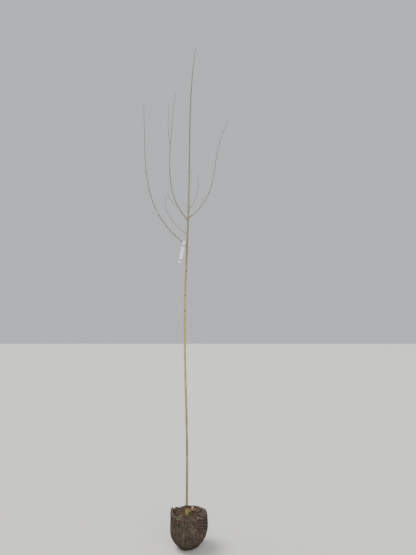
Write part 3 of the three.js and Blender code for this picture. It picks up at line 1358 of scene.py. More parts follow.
@dataclass
class Bough:
    """One tapering bough or shoot that spreads out and soon turns upright."""

    node: str
    height: float
    azimuth: float
    rise: float
    reach: float
    turn: float
    drift: float
    drift_power: float
    sway: float
    sway_turns: float
    radius: float
    tip_radius: float
    start: Array = field(default_factory=lambda: np.zeros(3))
    taper_power: float = 0.9
    collar_swell: float = 0.45
    collar_length: float = 0.03
    first_node: float = 0.035
    last_node: float = 0.012
    node_gap: float = 0.034
    kink: float = 0.0006
    sunk: float = 0.006
    sides: int = 14
    ring_gap: float = 0.003
    bud_room: float = 0.0045

    @property
    def out(self) -> Array:
        """Return the level direction in which it spreads."""
        return level(math.radians(self.azimuth))

    @property
    def aside(self) -> Array:
        """Return the level direction square to its spread."""
        return np.cross(UP, self.out)

    def sweep(self, share: Any) -> Array:
        """Find its smooth centreline.

        Args:
            share: One or more shares of its run.

        Returns:
            The point at each share.
        """
        held = np.clip(share, 0.0, 1.0)[..., None]
        spread = self.reach * (1.0 - (1.0 - held) ** self.turn) + self.drift * held**self.drift_power
        sway = self.sway * held * np.sin(TURN * self.sway_turns * held)
        return self.start + self.out * spread + self.aside * sway + UP * self.rise * held

    def girth(self, share: Any) -> Any:
        """Return its radius at each share of its run."""
        taper = blend(self.radius, self.tip_radius, share**self.taper_power)
        return taper * (1.0 + self.collar_swell * np.exp(-share / self.collar_length))

    def stations(self) -> tuple[Array, float]:
        """Space out its rings.

        Returns:
            The shares of its run, evenly far apart along it, and its length.
        """
        fine = np.linspace(0.0, 1.0, 800)
        runs = runs_along(self.sweep(fine))
        length = float(runs[-1]) - self.bud_room
        count = int(length / self.ring_gap) + 2
        return np.interp(np.linspace(0.0, length, count), runs, fine), length

    def joints(self, rng: np.random.Generator, length: float) -> list[tuple[float, float]]:
        """Set out its buds, one above the other round the bough.

        Args:
            rng: Source of the uneven gaps and turns.
            length: Its length.

        Returns:
            The run and angle of each bud.
        """
        found = []
        run = self.first_node
        turn = rng.uniform(0.0, TURN)
        while run < length - self.last_node:
            found.append((run, turn))
            turn += GOLDEN_ANGLE + rng.normal(0.0, 0.12)
            run += self.node_gap * blend(1.15, 0.6, run / length) * rng.uniform(0.85, 1.15)
        return found

    def build(self, rng: np.random.Generator, bark: Material, room: Room) -> list[Bud]:
        """Build the bark and tie it to the frame.

        Args:
            rng: Source of its small irregularities.
            bark: Its finish.
            room: The box that the points keep inside.

        Returns:
            Where each bud stands.
        """
        shares, length = self.stations()
        runs = np.linspace(0.0, length, len(shares))
        joints = self.joints(rng, length)
        bends = np.where(np.arange(len(joints) + 1) % 2 > 0, 1.0, -1.0)
        zigzag = np.interp(runs, [0.0] + [run for run, _ in joints], bends)
        centres = self.sweep(shares) + self.aside * (zigzag * self.kink * ease(runs, 0.0, 0.05))[:, None]
        angles = round_angles(self.sides)
        radii = np.repeat(self.girth(shares)[:, None], self.sides, axis=1)
        scar = np.repeat(0.25 * bell((runs[:, None] - 0.014) / 0.004), self.sides, axis=1)
        for run, turn in joints:
            up = (runs[:, None] - run) / 0.0045
            across = apart(angles, turn)
            radii += 0.11 * radii * bell(up) * (0.35 + 0.65 * bell(across / 1.1))
            scar = np.maximum(scar, 0.7 * bell((up + 0.55) / 0.6) * bell(across / 0.7))
        wrinkles = 0.03 * np.sin(runs / 0.0016) * np.exp(-runs / 0.018)
        uneven = (1.0 + wrinkles) * (1.0 + 0.035 * ripple(centres, 220.0, 5.0))
        radii *= (uneven * blend(0.5, 1.0, ease(runs, 0.0, self.sunk)))[:, None]
        marks = {"scar": scar, "age": (1.0 - shares) ** 0.8, "seam": bell((runs - 0.004) / 0.017)}
        batch = MeshBatch()
        batch.add_tube(centres, radii, self.sides, marks)
        piece = batch.build(self.node.replace("bough", "bark").replace("shoot", "bark"), bark, room)
        publish(piece, Slot.YOUNG_BARK, self.node)
        along, across, upright = frames(centres)
        buds = []
        for run, turn in joints:
            i = int(np.searchsorted(runs, run))
            way = across[i] * math.cos(turn) + upright[i] * math.sin(turn)
            buds.append(Bud(centres[i], way, along[i], float(self.girth(shares[i])), float(shares[i])))
        return buds


@dataclass
class Shoot(Bough):
    """A slighter side limb that leaves its bough at a share along it."""

    sides: int = 9
    sunk: float = 0.003
    along: float = 0.0


@dataclass
class Crown:
    """The boughs and shoots, with the fine twigs and buds that grow on from them."""

    trunk: Trunk
    collar_rise: float = 0.005
    bud_length: float = 0.0064
    bud_radius: float = 0.00155
    bud_lean: float = 0.40
    twig_odds: float = 0.2
    twig_radius: float = 0.0011
    twig_tip_radius: float = 0.00055
    twig_bud_gap: float = 0.013
    shortest_twig: float = 0.018
    longest_twig: float = 0.12
    leader_foot: float = 2.62
    leader_gap: float = 0.042
    bud_spare: float = 0.0008
    twig_spare: float = 0.007
    feather_height: float = 2.176
    feather_azimuth: float = -14.0
    feather_length: float = 0.070

    def __post_init__(self) -> None:
        """List the boughs from the lowest up, and the shoots on the middle left one."""
        # Node, height, azimuth, rise, reach, turn, drift and its power, sway and its turns, two radii.
        rows = (
            ("bough_left_long", 2.241, 196, 1.145, 0.332, 4.97, 0.029, 1.5, 0.005, 1.6, 0.0046, 0.0013),
            ("bough_left_short", 2.330, 140, 0.357, 0.289, 1.86, -0.038, 3.29, 0.003, 1.1, 0.0036, 0.0012),
            ("bough_left_middle", 2.445, 236, 1.005, 0.245, 8.69, -0.081, 3.0, 0.004, 1.8, 0.0043, 0.0013),
            ("bough_right_long", 2.463, 346, 0.789, 0.213, 5.61, 0.121, 3.52, 0.004, 1.4, 0.0044, 0.0013),
            ("bough_right_short", 2.532, 52, 0.328, 0.142, 2.44, -0.032, 2.52, 0.003, 1.0, 0.0032, 0.0011),
        )
        self.boughs = [Bough(*row) for row in rows]
        for bough in self.boughs:
            bough.start = self.trunk.centre(bough.height)
        low = ("shoot_left_low", 0.0, 205, 0.098, 0.084, 2.2, 0.0, 2.0, 0.002, 0.8, 0.0024, 0.0010)
        high = ("shoot_left_high", 0.0, 228, 0.325, 0.026, 7.0, 0.0, 2.0, 0.002, 0.5, 0.0020, 0.0009)
        self.shoots = [Shoot(*low, along=0.082, node_gap=0.022), Shoot(*high, along=0.55, node_gap=0.028)]
        for shoot in self.shoots:
            shoot.start = self.boughs[2].sweep(shoot.along)

    @property
    def limbs(self) -> list[Bough]:
        """Return the boughs and then the shoots."""
        return [*self.boughs, *self.shoots]

    def collars(self) -> list[tuple[float, float]]:
        """Return the height and azimuth where each bough leaves the trunk's bark."""
        return [(bough.height + self.collar_rise, bough.azimuth) for bough in self.boughs]

    def leader_buds(self, rng: np.random.Generator) -> list[Bud]:
        """Set out the buds on the leader, above the boughs.

        Args:
            rng: Source of the uneven gaps.

        Returns:
            Where each bud stands.
        """
        trunk = self.trunk
        heights = []
        height = self.leader_foot
        while height < trunk.tip - 0.01:
            heights.append(height)
            left = (trunk.tip - height) / (trunk.tip - trunk.crown)
            height += self.leader_gap * blend(0.6, 1.0, left) * rng.uniform(0.85, 1.15)
        shares = blend(0.2, 1.0, np.arange(len(heights)) / len(heights))
        return [
            Bud(trunk.centre(height), level(i * GOLDEN_ANGLE), UP, float(trunk.girth(height)), shares[i])
            for i, height in enumerate(heights)
        ]

    def grow_twig(self, bud: Bud, rng: np.random.Generator) -> Array | None:
        """Lay out one twig from a bud's place, shortened until it stays in the box.

        Args:
            bud: Where it starts.
            rng: Source of its length and lean.

        Returns:
            Its centreline, or None where there is no room for one.
        """
        length = blend(self.longest_twig, self.shortest_twig, bud.share) * rng.uniform(0.4, 1.0)
        lean = rng.uniform(0.75, 1.05)
        sway = rng.normal(0.0, 0.06)
        while length > self.shortest_twig * 0.6:
            line = self.lay_twig(bud, length, lean, sway)
            if self.trunk.room.holds(line, self.twig_spare):
                return line
            length *= 0.75
        return None

    def lay_twig(self, bud: Bud, length: float, lean: float, sway: float) -> Array:
        """Draw a twig that leans off its limb and then turns along it.

        Args:
            bud: Where it starts.
            length: Its length.
            lean: Its first angle to the limb.
            sway: How far it sways to the side, as a share of its length.

        Returns:
            Its centreline.
        """
        way = bud.onward * math.cos(lean) + bud.outward * math.sin(lean)
        side = unit(np.cross(bud.onward, bud.outward)) * sway
        run = np.linspace(0.0, 1.0, 12)[:, None]
        bend = (bud.onward - way) * 0.55 * run**2
        return bud.point + length * (way * run + bend + side * np.sin(4.0 * run))

    def feather(self) -> Array:
        """Return the line of the one fine twig that grows from the stem below the boughs."""
        bud = Bud(self.trunk.centre(self.feather_height), level(math.radians(self.feather_azimuth)), UP)
        return self.lay_twig(bud, self.feather_length, 1.15, 0.05)

    def build(self) -> None:
        """Build boughs, shoots, twigs and buds and tie them to the frame."""
        rng = np.random.default_rng(2024)
        bark = TwigFinish().build()
        buds: list[Bud] = []
        sprouting: list[Bud] = []
        for limb in self.limbs:
            found = limb.build(rng, bark, self.trunk.room)
            buds += found
            sprouting += found[2:-3]
        leader = self.leader_buds(rng)
        buds += leader
        sprouting += leader[3:-8]
        grown = {bud: self.grow_twig(bud, rng) for bud in sprouting if rng.random() <= self.twig_odds}
        twigs = {bud: line for bud, line in grown.items() if line is not None}
        places = Foothold()
        self.build_twigs([self.feather(), *twigs.values()], bark, rng, places)
        for bud in buds:
            if bud not in twigs:
                self.put_bud(bud, blend(1.05, 0.8, bud.share) * rng.uniform(0.85, 1.15), places)
        self.put_tip_buds(places)
        self.build_buds(places)

    def build_twigs(
        self, lines: list[Array], bark: Material, rng: np.random.Generator, places: Foothold
    ) -> None:
        """Build every fine twig as one piece and note the places of their buds.

        Args:
            lines: Centreline of each twig.
            bark: Their finish.
            rng: Source of their buds' turns and sizes.
            places: Gathers the buds' places.
        """
        batch = MeshBatch()
        for line in lines:
            run = np.linspace(0.0, 1.0, len(line))
            radii = blend(self.twig_radius, self.twig_tip_radius, run) * (1.0 + 0.5 * np.exp(-run / 0.06))
            batch.add_tube(line, radii, 7, {"age": 0.45 * (1.0 - run)})
            along, across, upright = frames(line)
            turn = rng.uniform(0.0, TURN)
            length = max(float(np.linalg.norm(line[-1] - line[0])), self.twig_bud_gap)
            step = max(2, int(self.twig_bud_gap / length * len(line)))
            for i in range(2, len(line) - 1, step):
                way = across[i] * math.cos(turn) + upright[i] * math.sin(turn)
                self.put_bud(Bud(line[i], way, along[i], float(radii[i])), rng.uniform(0.5, 0.68), places)
                turn += GOLDEN_ANGLE
            places.add(line[-1] - along[-1] * 0.0006, along[-1], rng.uniform(0.62, 0.8))
        publish(batch.build("fine_twigs", bark, self.trunk.room), Slot.YOUNG_BARK)

    def put_bud(self, bud: Bud, size: float, places: Foothold) -> None:
        """Set one bud on a limb, turned to the limb's other side where it would leave the box.

        Args:
            bud: Where it stands.
            size: Its size.
            places: Gathers its place.
        """
        side = unit(np.cross(bud.onward, bud.outward))
        for way in (bud.outward, -bud.outward, side, -side):
            axis = unit(bud.onward + way * self.bud_lean)
            seat = bud.point + way * bud.radius * 0.86
            ends = np.array([seat, seat + axis * self.bud_length * size * 1.1])
            if self.trunk.room.holds(ends, self.bud_spare):
                places.add(seat, axis, size)
                return

    def put_tip_buds(self, places: Foothold) -> None:
        """Sink a bud into the tip of each limb and of the leader, its point just at the tip.

        Args:
            places: Gathers their places.
        """
        tip = self.trunk.tip
        ends = [(limb.sweep(np.array([0.985, 1.0])), 1.0) for limb in self.limbs]
        ends.append((self.trunk.centre(np.array([tip - 0.01, tip])), 1.1))
        for (before, end), size in ends:
            axis = unit(end - before)
            places.add(end - axis * self.bud_length * size, axis, size)

    def build_buds(self, places: Foothold) -> None:
        """Build every bud as one piece: pointed, with overlapping scales.

        Args:
            places: Where they stand.
        """
        finish = PlainFinish("bud_scales", (112, 78, 60), (66, 44, 38), 900.0, 0.5).build()
        runs = np.array([0.0, 0.1, 0.3, 0.34, 0.58, 0.62, 0.85, 1.0])
        girths = np.array([0.75, 0.95, 1.12, 0.98, 0.85, 0.7, 0.34, 0.06])
        shape = one_tube(UP * (runs * self.bud_length)[:, None], girths * self.bud_radius, 7)
        places.scatter("buds", shape, finish, Slot.YOUNG_BARK, self.trunk.room)


@dataclass(frozen=True)
class Peak:
    """A corner of the sacking that stands up over the rim, with its azimuth and spread in degrees."""

    azimuth: float
    height: float
    spread: float


@dataclass
class BallShape:
    """The root ball's outline and soil, and how the sacking dips, stands up and ends in its hem."""

    trunk: Trunk
    columns: int = 360
    belly: float = 0.140
    foot: float = 0.052
    foot_lean: float = 0.008
    waist: float = 0.142
    waist_lean: float = 0.020
    roundness: float = 0.74
    side_height: float = 0.221
    rim: float = 0.017
    soil_radius: float = 0.104
    soil_level: float = 0.232
    seat_radius: float = 0.046
    seat_level: float = 0.239
    mound: float = 0.0035
    mound_reach: float = 0.021
    waves: tuple[tuple[float, float, float, float], ...] = (
        (3, 0.016, 1.1, 14.3),
        (5, 0.011, -0.7, -22.2),
        (9, 0.007, 2.3, 33.3),
    )
    peaks: tuple[Peak, ...] = (
        Peak(180, 0.041, 16),
        Peak(146, 0.012, 13),
        Peak(50, 0.003, 16),
        Peak(112, 0.005, 12),
        Peak(300, 0.004, 20),
    )
    side_run: float = 0.12
    rim_run: float = 0.64
    flap_run: float = 0.76
    hem_radius: float = 0.081
    gathers: float = 23.0
    pleats: float = 41.0
    ribs: float = 73.0
    fold_pitch: float = 0.020
    fold_slope: float = 0.045
    fold_depth: float = 0.0066
    crease_depth: float = 0.0042
    twine_level: float = 0.2285
    sunk: float = 0.0004
    flap_proud: float = 0.0018

    @property
    def angles(self) -> Array:
        """Return the angle of each column of its grids."""
        return round_angles(self.columns)

    def lift(self, angles: Array) -> Array:
        """Work out how far the sacking's corners stand over the rim.

        Args:
            angles: Angle of each place.

        Returns:
            The height of each.
        """
        return sum(
            peak.height * facing(angles, peak.azimuth, math.radians(peak.spread)) for peak in self.peaks
        )

    def reach(self, angles: Array, heights: Any) -> Array:
        """Work out how far the ball's side lies from its middle.

        Args:
            angles: Angle of each place.
            heights: Height of each place.

        Returns:
            The distance of each.
        """
        leftward = -np.cos(angles)
        foot = self.foot + self.foot_lean * leftward
        climb = np.clip(heights / (self.waist - self.waist_lean * leftward), 0.0, 1.0)
        fullness = (1.0 - (1.0 - climb) ** 2) ** self.roundness
        uneven = sum(
            depth * np.sin(lobes * angles + phase + lean * heights)
            for lobes, depth, phase, lean in self.waves
        )
        return (foot + (self.belly - foot) * fullness) * (1.0 + uneven)

    def top(self, angles: Array, radii: Array, lifted: float) -> Array:
        """Work out the height of the ball's top.

        Args:
            angles: Angle of each place.
            radii: Distance of each place from the middle.
            lifted: Share of the corners' height that counts.

        Returns:
            The height of each.
        """
        shoulder = self.reach(angles, self.side_height) - self.rim
        crest = self.side_height + self.rim + self.lift(angles) * lifted
        inner = progress(radii, self.seat_radius, self.soil_radius)
        outer = progress(radii, self.soil_radius, shoulder)
        return blend(self.seat_level, self.soil_level, inner) + (crest - self.soil_level) * outer

    def mounded(self, x: Any, y: Any) -> Any:
        """Return how far the soil is heaped up at each place round the stem."""
        away = np.hypot(x - self.trunk.foot_offset, y - self.trunk.foot_depth)
        return self.mound * bell(away / self.mound_reach)

    def ground(self, x: Any, y: Any) -> Any:
        """Return the height of the soil at each place on the ball's top."""
        return self.top(np.arctan2(y, x), np.hypot(x, y), 0.0) + self.mounded(x, y)

    def surface(self, runs: Array, hem: Any, lifted: float) -> Array:
        """Lay out the ball's outline, from the middle of its underside over the rim to the hem.

        Args:
            runs: Share of the way, for each row.
            hem: Distance of the hem from the middle, for each column.
            lifted: Share of the corners' height that counts.

        Returns:
            The grid of points.
        """
        run = runs[:, None]
        angles = self.angles
        heights = self.side_height * progress(run, self.side_run, self.rim_run) ** 1.3
        reach = self.reach(angles, heights)
        over = progress(run, self.rim_run, self.flap_run) * math.pi / 2
        crest = self.rim + self.lift(angles) * lifted
        radii = np.where(run < self.side_run, blend(0.012, reach, run / self.side_run), reach)
        radii = radii - self.rim * (1.0 - np.cos(over))
        radii = np.where(run > self.flap_run, blend(radii, hem, progress(run, self.flap_run, 1.0)), radii)
        levels = heights + crest * np.sin(over)
        levels = np.where(run > self.flap_run, self.top(angles, radii, lifted), levels)
        return polar(radii, angles, levels)

    def gathered(self, angles: Array) -> Array:
        """Return how near each angle lies to the front left, where the sacking is gathered."""
        return facing(angles, -135.0, 1.1)

    def folded(self, angles: Array) -> Array:
        """Return how near each angle lies to the front right, where it is folded round the shoulder."""
        return facing(angles, -36.0, 0.80)

    def relief(self, angles: Array, points: Array) -> Array:
        """Work out how deep the sacking dips under the outline.

        Args:
            angles: Angle of each place.
            points: The places on the outline.

        Returns:
            The depth of the gathers, pleats, ribs, folds and creases at each.
        """
        heights = points[..., 2]
        drift = ripple(points, 16.0, 2.0)
        high = ease(heights, 0.10, 0.22)
        gathers = swell(self.gathers * angles + 2.4 * drift)
        depth = (0.0010 + 0.0030 * high + 0.0022 * ease(heights, 0.06, 0.0)) * gathers**1.6
        pleats = swell(self.pleats * angles + 3.0 * ripple(points, 22.0, 7.0))
        tight = self.gathered(angles) * ease(heights, 0.165, 0.210)
        depth = depth + (0.0008 + 0.0009 * high + 0.0046 * tight) * pleats**2
        depth = depth * (1.0 - 0.8 * self.folded(angles) * ease(heights, 0.10, 0.15))
        ribs = swell(self.ribs * angles + 2.0 * ripple(points, 30.0, 11.0))
        depth = depth + 0.0006 * ribs + 0.0012 * (0.5 + ripple(points, 45.0, 5.0))
        slope = self.fold_slope * apart(angles, math.radians(-45.0))
        folds = swell(TURN * (heights + slope) / self.fold_pitch + 1.5 * drift)
        depth = depth + self.fold_depth * self.folded(angles) * ease(heights, 0.12, 0.16) * folds**1.6
        depth = depth + 0.0018 * bell((heights - self.twine_level) / 0.0035)
        depth = np.clip(depth, 0.0, None) * blend(1.0, 0.2, ease(heights, 0.243, 0.255))
        for peak in self.peaks:
            off = apart(angles, math.radians(peak.azimuth)) / math.radians(peak.spread)
            share = min(peak.height / 0.012, 1.0) * bell(off / 2.0) * ease(heights, 0.17, 0.24)
            creases = 0.5 + 0.5 * np.cos(off * 9.0 + 60.0 * (heights - 0.24))
            depth = depth + self.crease_depth * share * creases**1.5
        return depth

    def dip(self, points: Array, runs: Array) -> Array:
        """Work out how deep the sacking's outer face lies under the outline.

        Args:
            points: Grid of the outline.
            runs: Share of the way, for each row.

        Returns:
            The depth at each point of the grid.
        """
        flap = ease(runs, self.flap_run, self.flap_run + 0.05)[:, None]
        depth = self.relief(self.angles, points) * ease(runs, 0.0, 0.2)[:, None]
        return depth * blend(1.0, 0.62, flap) + blend(self.sunk, -self.flap_proud, flap)

    def hem(self) -> Array:
        """Work out how far the torn hem of the sacking lies from the middle.

        Returns:
            The distance at each column.
        """
        ring = level(self.angles)
        jags = 0.007 * ripple(ring, 9.0, 8.0) + 0.006 * ripple(ring, 31.0, 2.0)
        return np.clip(self.hem_radius + 0.022 * ripple(ring, 1.6, 3.0) + jags, 0.060, 0.097)

    def on_side(self, angles: Array, heights: Array, off: Any, pressed: float = 0.55) -> Array:
        """Find points that lie on the sacking's side, pressed some way into its dips.

        Args:
            angles: Angle of each point.
            heights: Height of each point.
            off: Distance off the sacking.
            pressed: Share of each dip that they follow.

        Returns:
            The points.
        """
        over = np.clip((heights - self.side_height) / self.rim, 0.0, 0.99)
        reach = self.reach(angles, np.minimum(heights, self.side_height))
        reach = reach - self.rim * (1.0 - np.sqrt(1.0 - over**2))
        dips = self.relief(angles, polar(reach, angles, heights))
        return polar(reach - pressed * dips - self.sunk + off, angles, heights)


@dataclass
class BallPart:
    """Something that lies in or on the root ball."""

    shape: BallShape
    room: Room


@dataclass
class Wrapping(BallPart):
    """The soil, in one sheet of sacking that is gathered at the rim and torn at its hem."""

    soil: Material
    rows: tuple[int, int, int, int] = (8, 56, 14, 18)
    soil_rows: tuple[int, int] = (26, 62)
    cloth: float = 0.0011
    lining: float = 0.0024
    # Painted highlights: pale spots where the light falls on the upper left and front of the sacking, each
    # with its x, y, z and reach.
    painted_highlight_spots: tuple[tuple[float, float, float, float], ...] = (
        (-0.118, -0.050, 0.240, 0.010),
        (-0.095, -0.062, 0.240, 0.010),
        (-0.070, -0.068, 0.240, 0.009),
        (-0.045, -0.076, 0.239, 0.008),
        (-0.112, -0.070, 0.232, 0.012),
        (-0.088, -0.098, 0.230, 0.013),
        (-0.058, -0.118, 0.224, 0.014),
        (-0.036, -0.128, 0.206, 0.011),
        (-0.074, -0.095, 0.236, 0.012),
        (-0.118, -0.062, 0.205, 0.009),
        (0.026, -0.134, 0.190, 0.015),
        (0.040, -0.128, 0.160, 0.012),
        (0.062, -0.070, 0.236, 0.010),
    )

    def build(self) -> None:
        """Build the soil and the sacking."""
        self.build_soil()
        self.build_sacking()

    def build_soil(self) -> None:
        """Build the soil, smooth where the sacking hides it and crumbly where it shows."""
        shape = self.shape
        hidden_rows, shown_rows = self.soil_rows
        under = np.linspace(0.02, shape.flap_run, hidden_rows)
        runs = np.concatenate([under, np.linspace(shape.flap_run, 1.0, shown_rows)[1:]])
        grid = shape.surface(runs, 0.004, 0.0)
        hem = shape.hem()
        radii = np.linalg.norm(grid[..., :2], axis=-1)
        shown = (runs > shape.flap_run)[:, None] * ease(radii, hem + 0.005, hem - 0.004)
        hidden = np.clip(shape.dip(grid, runs), 0.0, None) + self.cloth + self.lining
        crumbs = 0.0006 + 0.0024 * ripple(grid, 70.0, 1.0) + 0.0014 * ripple(grid, 190.0, 4.0)
        grid = grid - outward(grid) * blend(hidden, crumbs, shown)[..., None]
        grid[..., 2] += shown * shape.mounded(grid[..., 0], grid[..., 1])
        batch = MeshBatch()
        batch.add_grid(grid, cells(len(runs) - 1, shape.columns), poles=True)
        publish(batch.build("soil_core", self.soil, self.room), Slot.ROOT_BALL, "root_ball")

    def build_sacking(self) -> None:
        """Build the sheet of sacking."""
        shape = self.shape
        limits = (0.0, shape.side_run, shape.rim_run, shape.flap_run, 1.0)
        parts = [np.linspace(limits[i], limits[i + 1], self.rows[i], endpoint=i == 3) for i in range(4)]
        runs = np.concatenate(parts)
        base = shape.surface(runs, shape.hem(), 1.0)
        dips = shape.dip(base, runs)
        flap = ease(runs, shape.flap_run, 1.0)[:, None]
        curl = flap**6 * (0.002 + 0.004 * ripple(base, 26.0, 6.0))
        wrinkles = 0.0022 * flap * ripple(base, 55.0, 9.0)
        front = base - outward(base) * (dips - wrinkles)[..., None]
        front[..., 2] = np.maximum(front[..., 2] + np.clip(curl, -0.001, None), 0.0004)
        back = front - outward(front) * self.cloth
        flat = runs < shape.side_run
        back[flat, :, 2] = front[flat, :, 2] + self.cloth
        uvs = np.empty((len(runs), shape.columns + 1, 2))
        uvs[..., 0] = np.linspace(0.0, TURN * shape.belly, shape.columns + 1)
        uvs[..., 1] = runs_along(base)[:, None]
        batch = MeshBatch()
        batch.add_sheet(front, back, uvs, self.stains(base, runs, dips), wraps=True, poles=True)
        publish(batch.build("sacking_wrap", SackingFinish().build(), self.room), Slot.ROOT_BALL)

    def stains(self, points: Array, runs: Array, dips: Array) -> Marks:
        """Work out how soiled the sacking is, where pale spots paint its highlights, and where painted shade
        lies in its deep folds.

        Args:
            points: Grid of the outline.
            runs: Share of the way, for each row.
            dips: Depth of the sacking under the outline, at each point.

        Returns:
            The three marks of each point.
        """
        shape = self.shape
        flap = ease(runs, shape.flap_run, shape.flap_run + 0.12)[:, None]
        soiled = flap * np.clip(0.75 + 0.8 * ripple(points, 30.0, 12.0), 0.0, 1.0)
        # Painted highlights: pale spots round the listed places, dimmed where the folds are painted in shade.
        faded = np.zeros_like(soiled)
        for x, y, z, reach in self.painted_highlight_spots:
            off = (points - np.array([x, y, z])) * np.array([1.0, 1.0, 0.7])
            faded = np.maximum(faded, 0.75 * bell(np.linalg.norm(off, axis=-1) / reach))
        draped = np.maximum(shape.gathered(shape.angles), shape.folded(shape.angles))
        # Painted shade: the deeper a fold, the darker it is painted, most on the gathered front left and the
        # folded front right.
        hollow = blend(0.25, 0.9, draped) * ease(dips, 0.0030, 0.0080) * (1.0 - 0.6 * flap)
        faded = faded * (1.0 - 0.7 * hollow)
        return {"soiled": soiled * (1.0 - faded), "faded": faded, "hollow": hollow}


@dataclass
class Netting(BallPart):
    """The net: two families of strands that wind up the ball, knotted where they cross."""

    strands: int = 36
    slope: float = 3.6
    radius: float = 0.00055
    knot_radius: float = 0.0011
    top: float = 0.225

    def netted(self, angles: Array, heights: Array) -> Array:
        """Find places of the net, whose even meshes are pulled out of shape here and there.

        Args:
            angles: Angle of each place in the even net.
            heights: Height of each place in the even net.

        Returns:
            The places on the ball.
        """
        pulled = angles + 0.045 * np.sin(2.0 * angles + 22.0 * heights + 0.5)
        pulled = pulled + 0.030 * np.sin(5.0 * angles - 31.0 * heights + 1.0)
        middle = np.sin(math.pi * heights / self.top)
        raised = heights + 0.0050 * middle * np.sin(3.0 * angles + 26.0 * heights)
        return self.shape.on_side(pulled, raised, self.radius * 0.6)

    def build(self) -> None:
        """Build the strands and knots."""
        finish = PlainFinish("net_strand", (100, 89, 72), (62, 52, 45), 60.0, 0.9, 0.0003).build()
        heights = np.concatenate([np.linspace(0.003, 0.03, 8), np.linspace(0.034, self.top, 44)])
        starts = round_angles(self.strands)
        lines = [
            self.netted(start + way * self.slope * heights, heights)
            for start in starts
            for way in (-1.0, 1.0)
        ]
        pitch = TURN / self.strands
        rise = pitch / (2.0 * self.slope)
        knots = [
            self.netted(starts + (row % 2) * pitch / 2.0, np.full(self.strands, row * rise))
            for row in range(1, int(self.top / rise) + 1)
        ]
        values = {"Radius": self.radius, "Sides": 5, "Knot Radius": self.knot_radius}
        CordTree("net_cord", finish).lay("net_strands", lines, values, self.room, knots=np.concatenate(knots))


@dataclass
class Twine(BallPart):
    """The twine drawn round the rim, and its ends wound round the foot of the stem."""

    radius: float = 0.0015
    lobe_depth: float = 0.28
    rim_points: int = 1080
    loop_gap: float = 0.0034
    coil: tuple[float, float] = (0.280, 0.298)
    windings: float = 4.5
    winding_points: int = 80
    tails: tuple[float, float] = (-112.0, 28.0)
    tail_points: int = 60
    knot_radius: float = 0.0036

    def build(self) -> None:
        """Build the loops round the rim and the winding on the stem."""
        finish = PlainFinish("twine", (97, 71, 58), (52, 38, 32), 120.0, 0.88, 0.0004).build()
        tree = CordTree("twine_cord", finish)
        values = {"Radius": self.radius, "Lobe Depth": self.lobe_depth, "Sides": 15, "Twist": 420.0}
        tree.lay("rim_twine", self.rim_loops(), values, self.room, closed=True)
        line, knots = self.winding()
        values |= {"Sides": 12, "Twist": 520.0, "Knot Radius": self.knot_radius}
        tree.lay("stem_twine", [line], values, self.room, knots=knots)

    def rim_loops(self) -> list[Array]:
        """Lay out the two loops round the rim.

        Returns:
            The points of each.
        """
        angles = round_angles(self.rim_points)
        levels = self.shape.twine_level + 0.0022 * np.sin(2.0 * angles + 0.6) + 0.0012 * np.sin(5.0 * angles)
        below = levels - self.loop_gap - 0.0011 * np.sin(4.0 * angles)
        tight = 0.0003 * np.sin(7.0 * angles + 1.0) + 0.0004 * np.sin(16.0 * angles)
        return [
            self.shape.on_side(angles, levels, 0.0008 + tight, 0.85),
            self.shape.on_side(angles, below, 0.0006 - tight, 0.85),
        ]

    def winding(self) -> tuple[Array, Array]:
        """Lay out the twine round the stem, with its two tails.

        Returns:
            Its points, and the two that carry a knot.
        """
        trunk = self.shape.trunk
        turns = np.linspace(0.0, self.windings * TURN, int(self.windings * self.winding_points)) - 1.2
        rise = np.linspace(*self.coil, len(turns)) + 0.0006 * np.sin(3.0 * turns)
        reach = trunk.girth(rise) + self.radius * 0.55
        coil = trunk.centre(rise) + level(turns) * reach[:, None]
        low, high = [
            self.tail(start, math.radians(azimuth)) for start, azimuth in zip((coil[0], coil[-1]), self.tails)
        ]
        line = resample(np.concatenate([low[::-1], coil, high]), 0.0007)
        return line, np.array([low[-1], high[-1]])

    def tail(self, start: Array, azimuth: float) -> Array:
        """Lay one twine end down the stem, over the soil and out to the rim.

        Args:
            start: Where it leaves the stem.
            azimuth: Angle at which it meets the rim.

        Returns:
            Its points.
        """
        rim = np.array([self.shape.twine_level + 0.002])
        end = self.shape.on_side(np.array([azimuth]), rim, 0.0012)[0]
        run = np.linspace(0.0, 1.0, self.tail_points)[1:]
        aside = unit(np.cross(end - start, UP))
        sway = 0.006 * np.sin(math.pi * run) * np.sin(7.0 * run)
        line = start + (end - start) * run[:, None] + aside * sway[:, None]
        away = np.hypot(line[:, 0], line[:, 1])
        rest = self.shape.ground(line[:, 0], line[:, 1]) + blend(0.0018, 0.0036, ease(away, 0.07, 0.09))
        over_rim = np.interp(run, [0.0, 0.9, 1.0], [1.0, 0.25, end[2]])
        line[:, 2] = np.minimum(blend(start[2], rest, ease(run * 2.6)), over_rim)
        return line


@dataclass(frozen=True)
class Leaf:
    """One dead leaf or flake on the soil, with its heading in degrees and its curl in radians."""

    x: float
    y: float
    heading: float
    length: float
    width: float
    curl: float
    tilt: float = 0.12
    rise: float = 0.0015


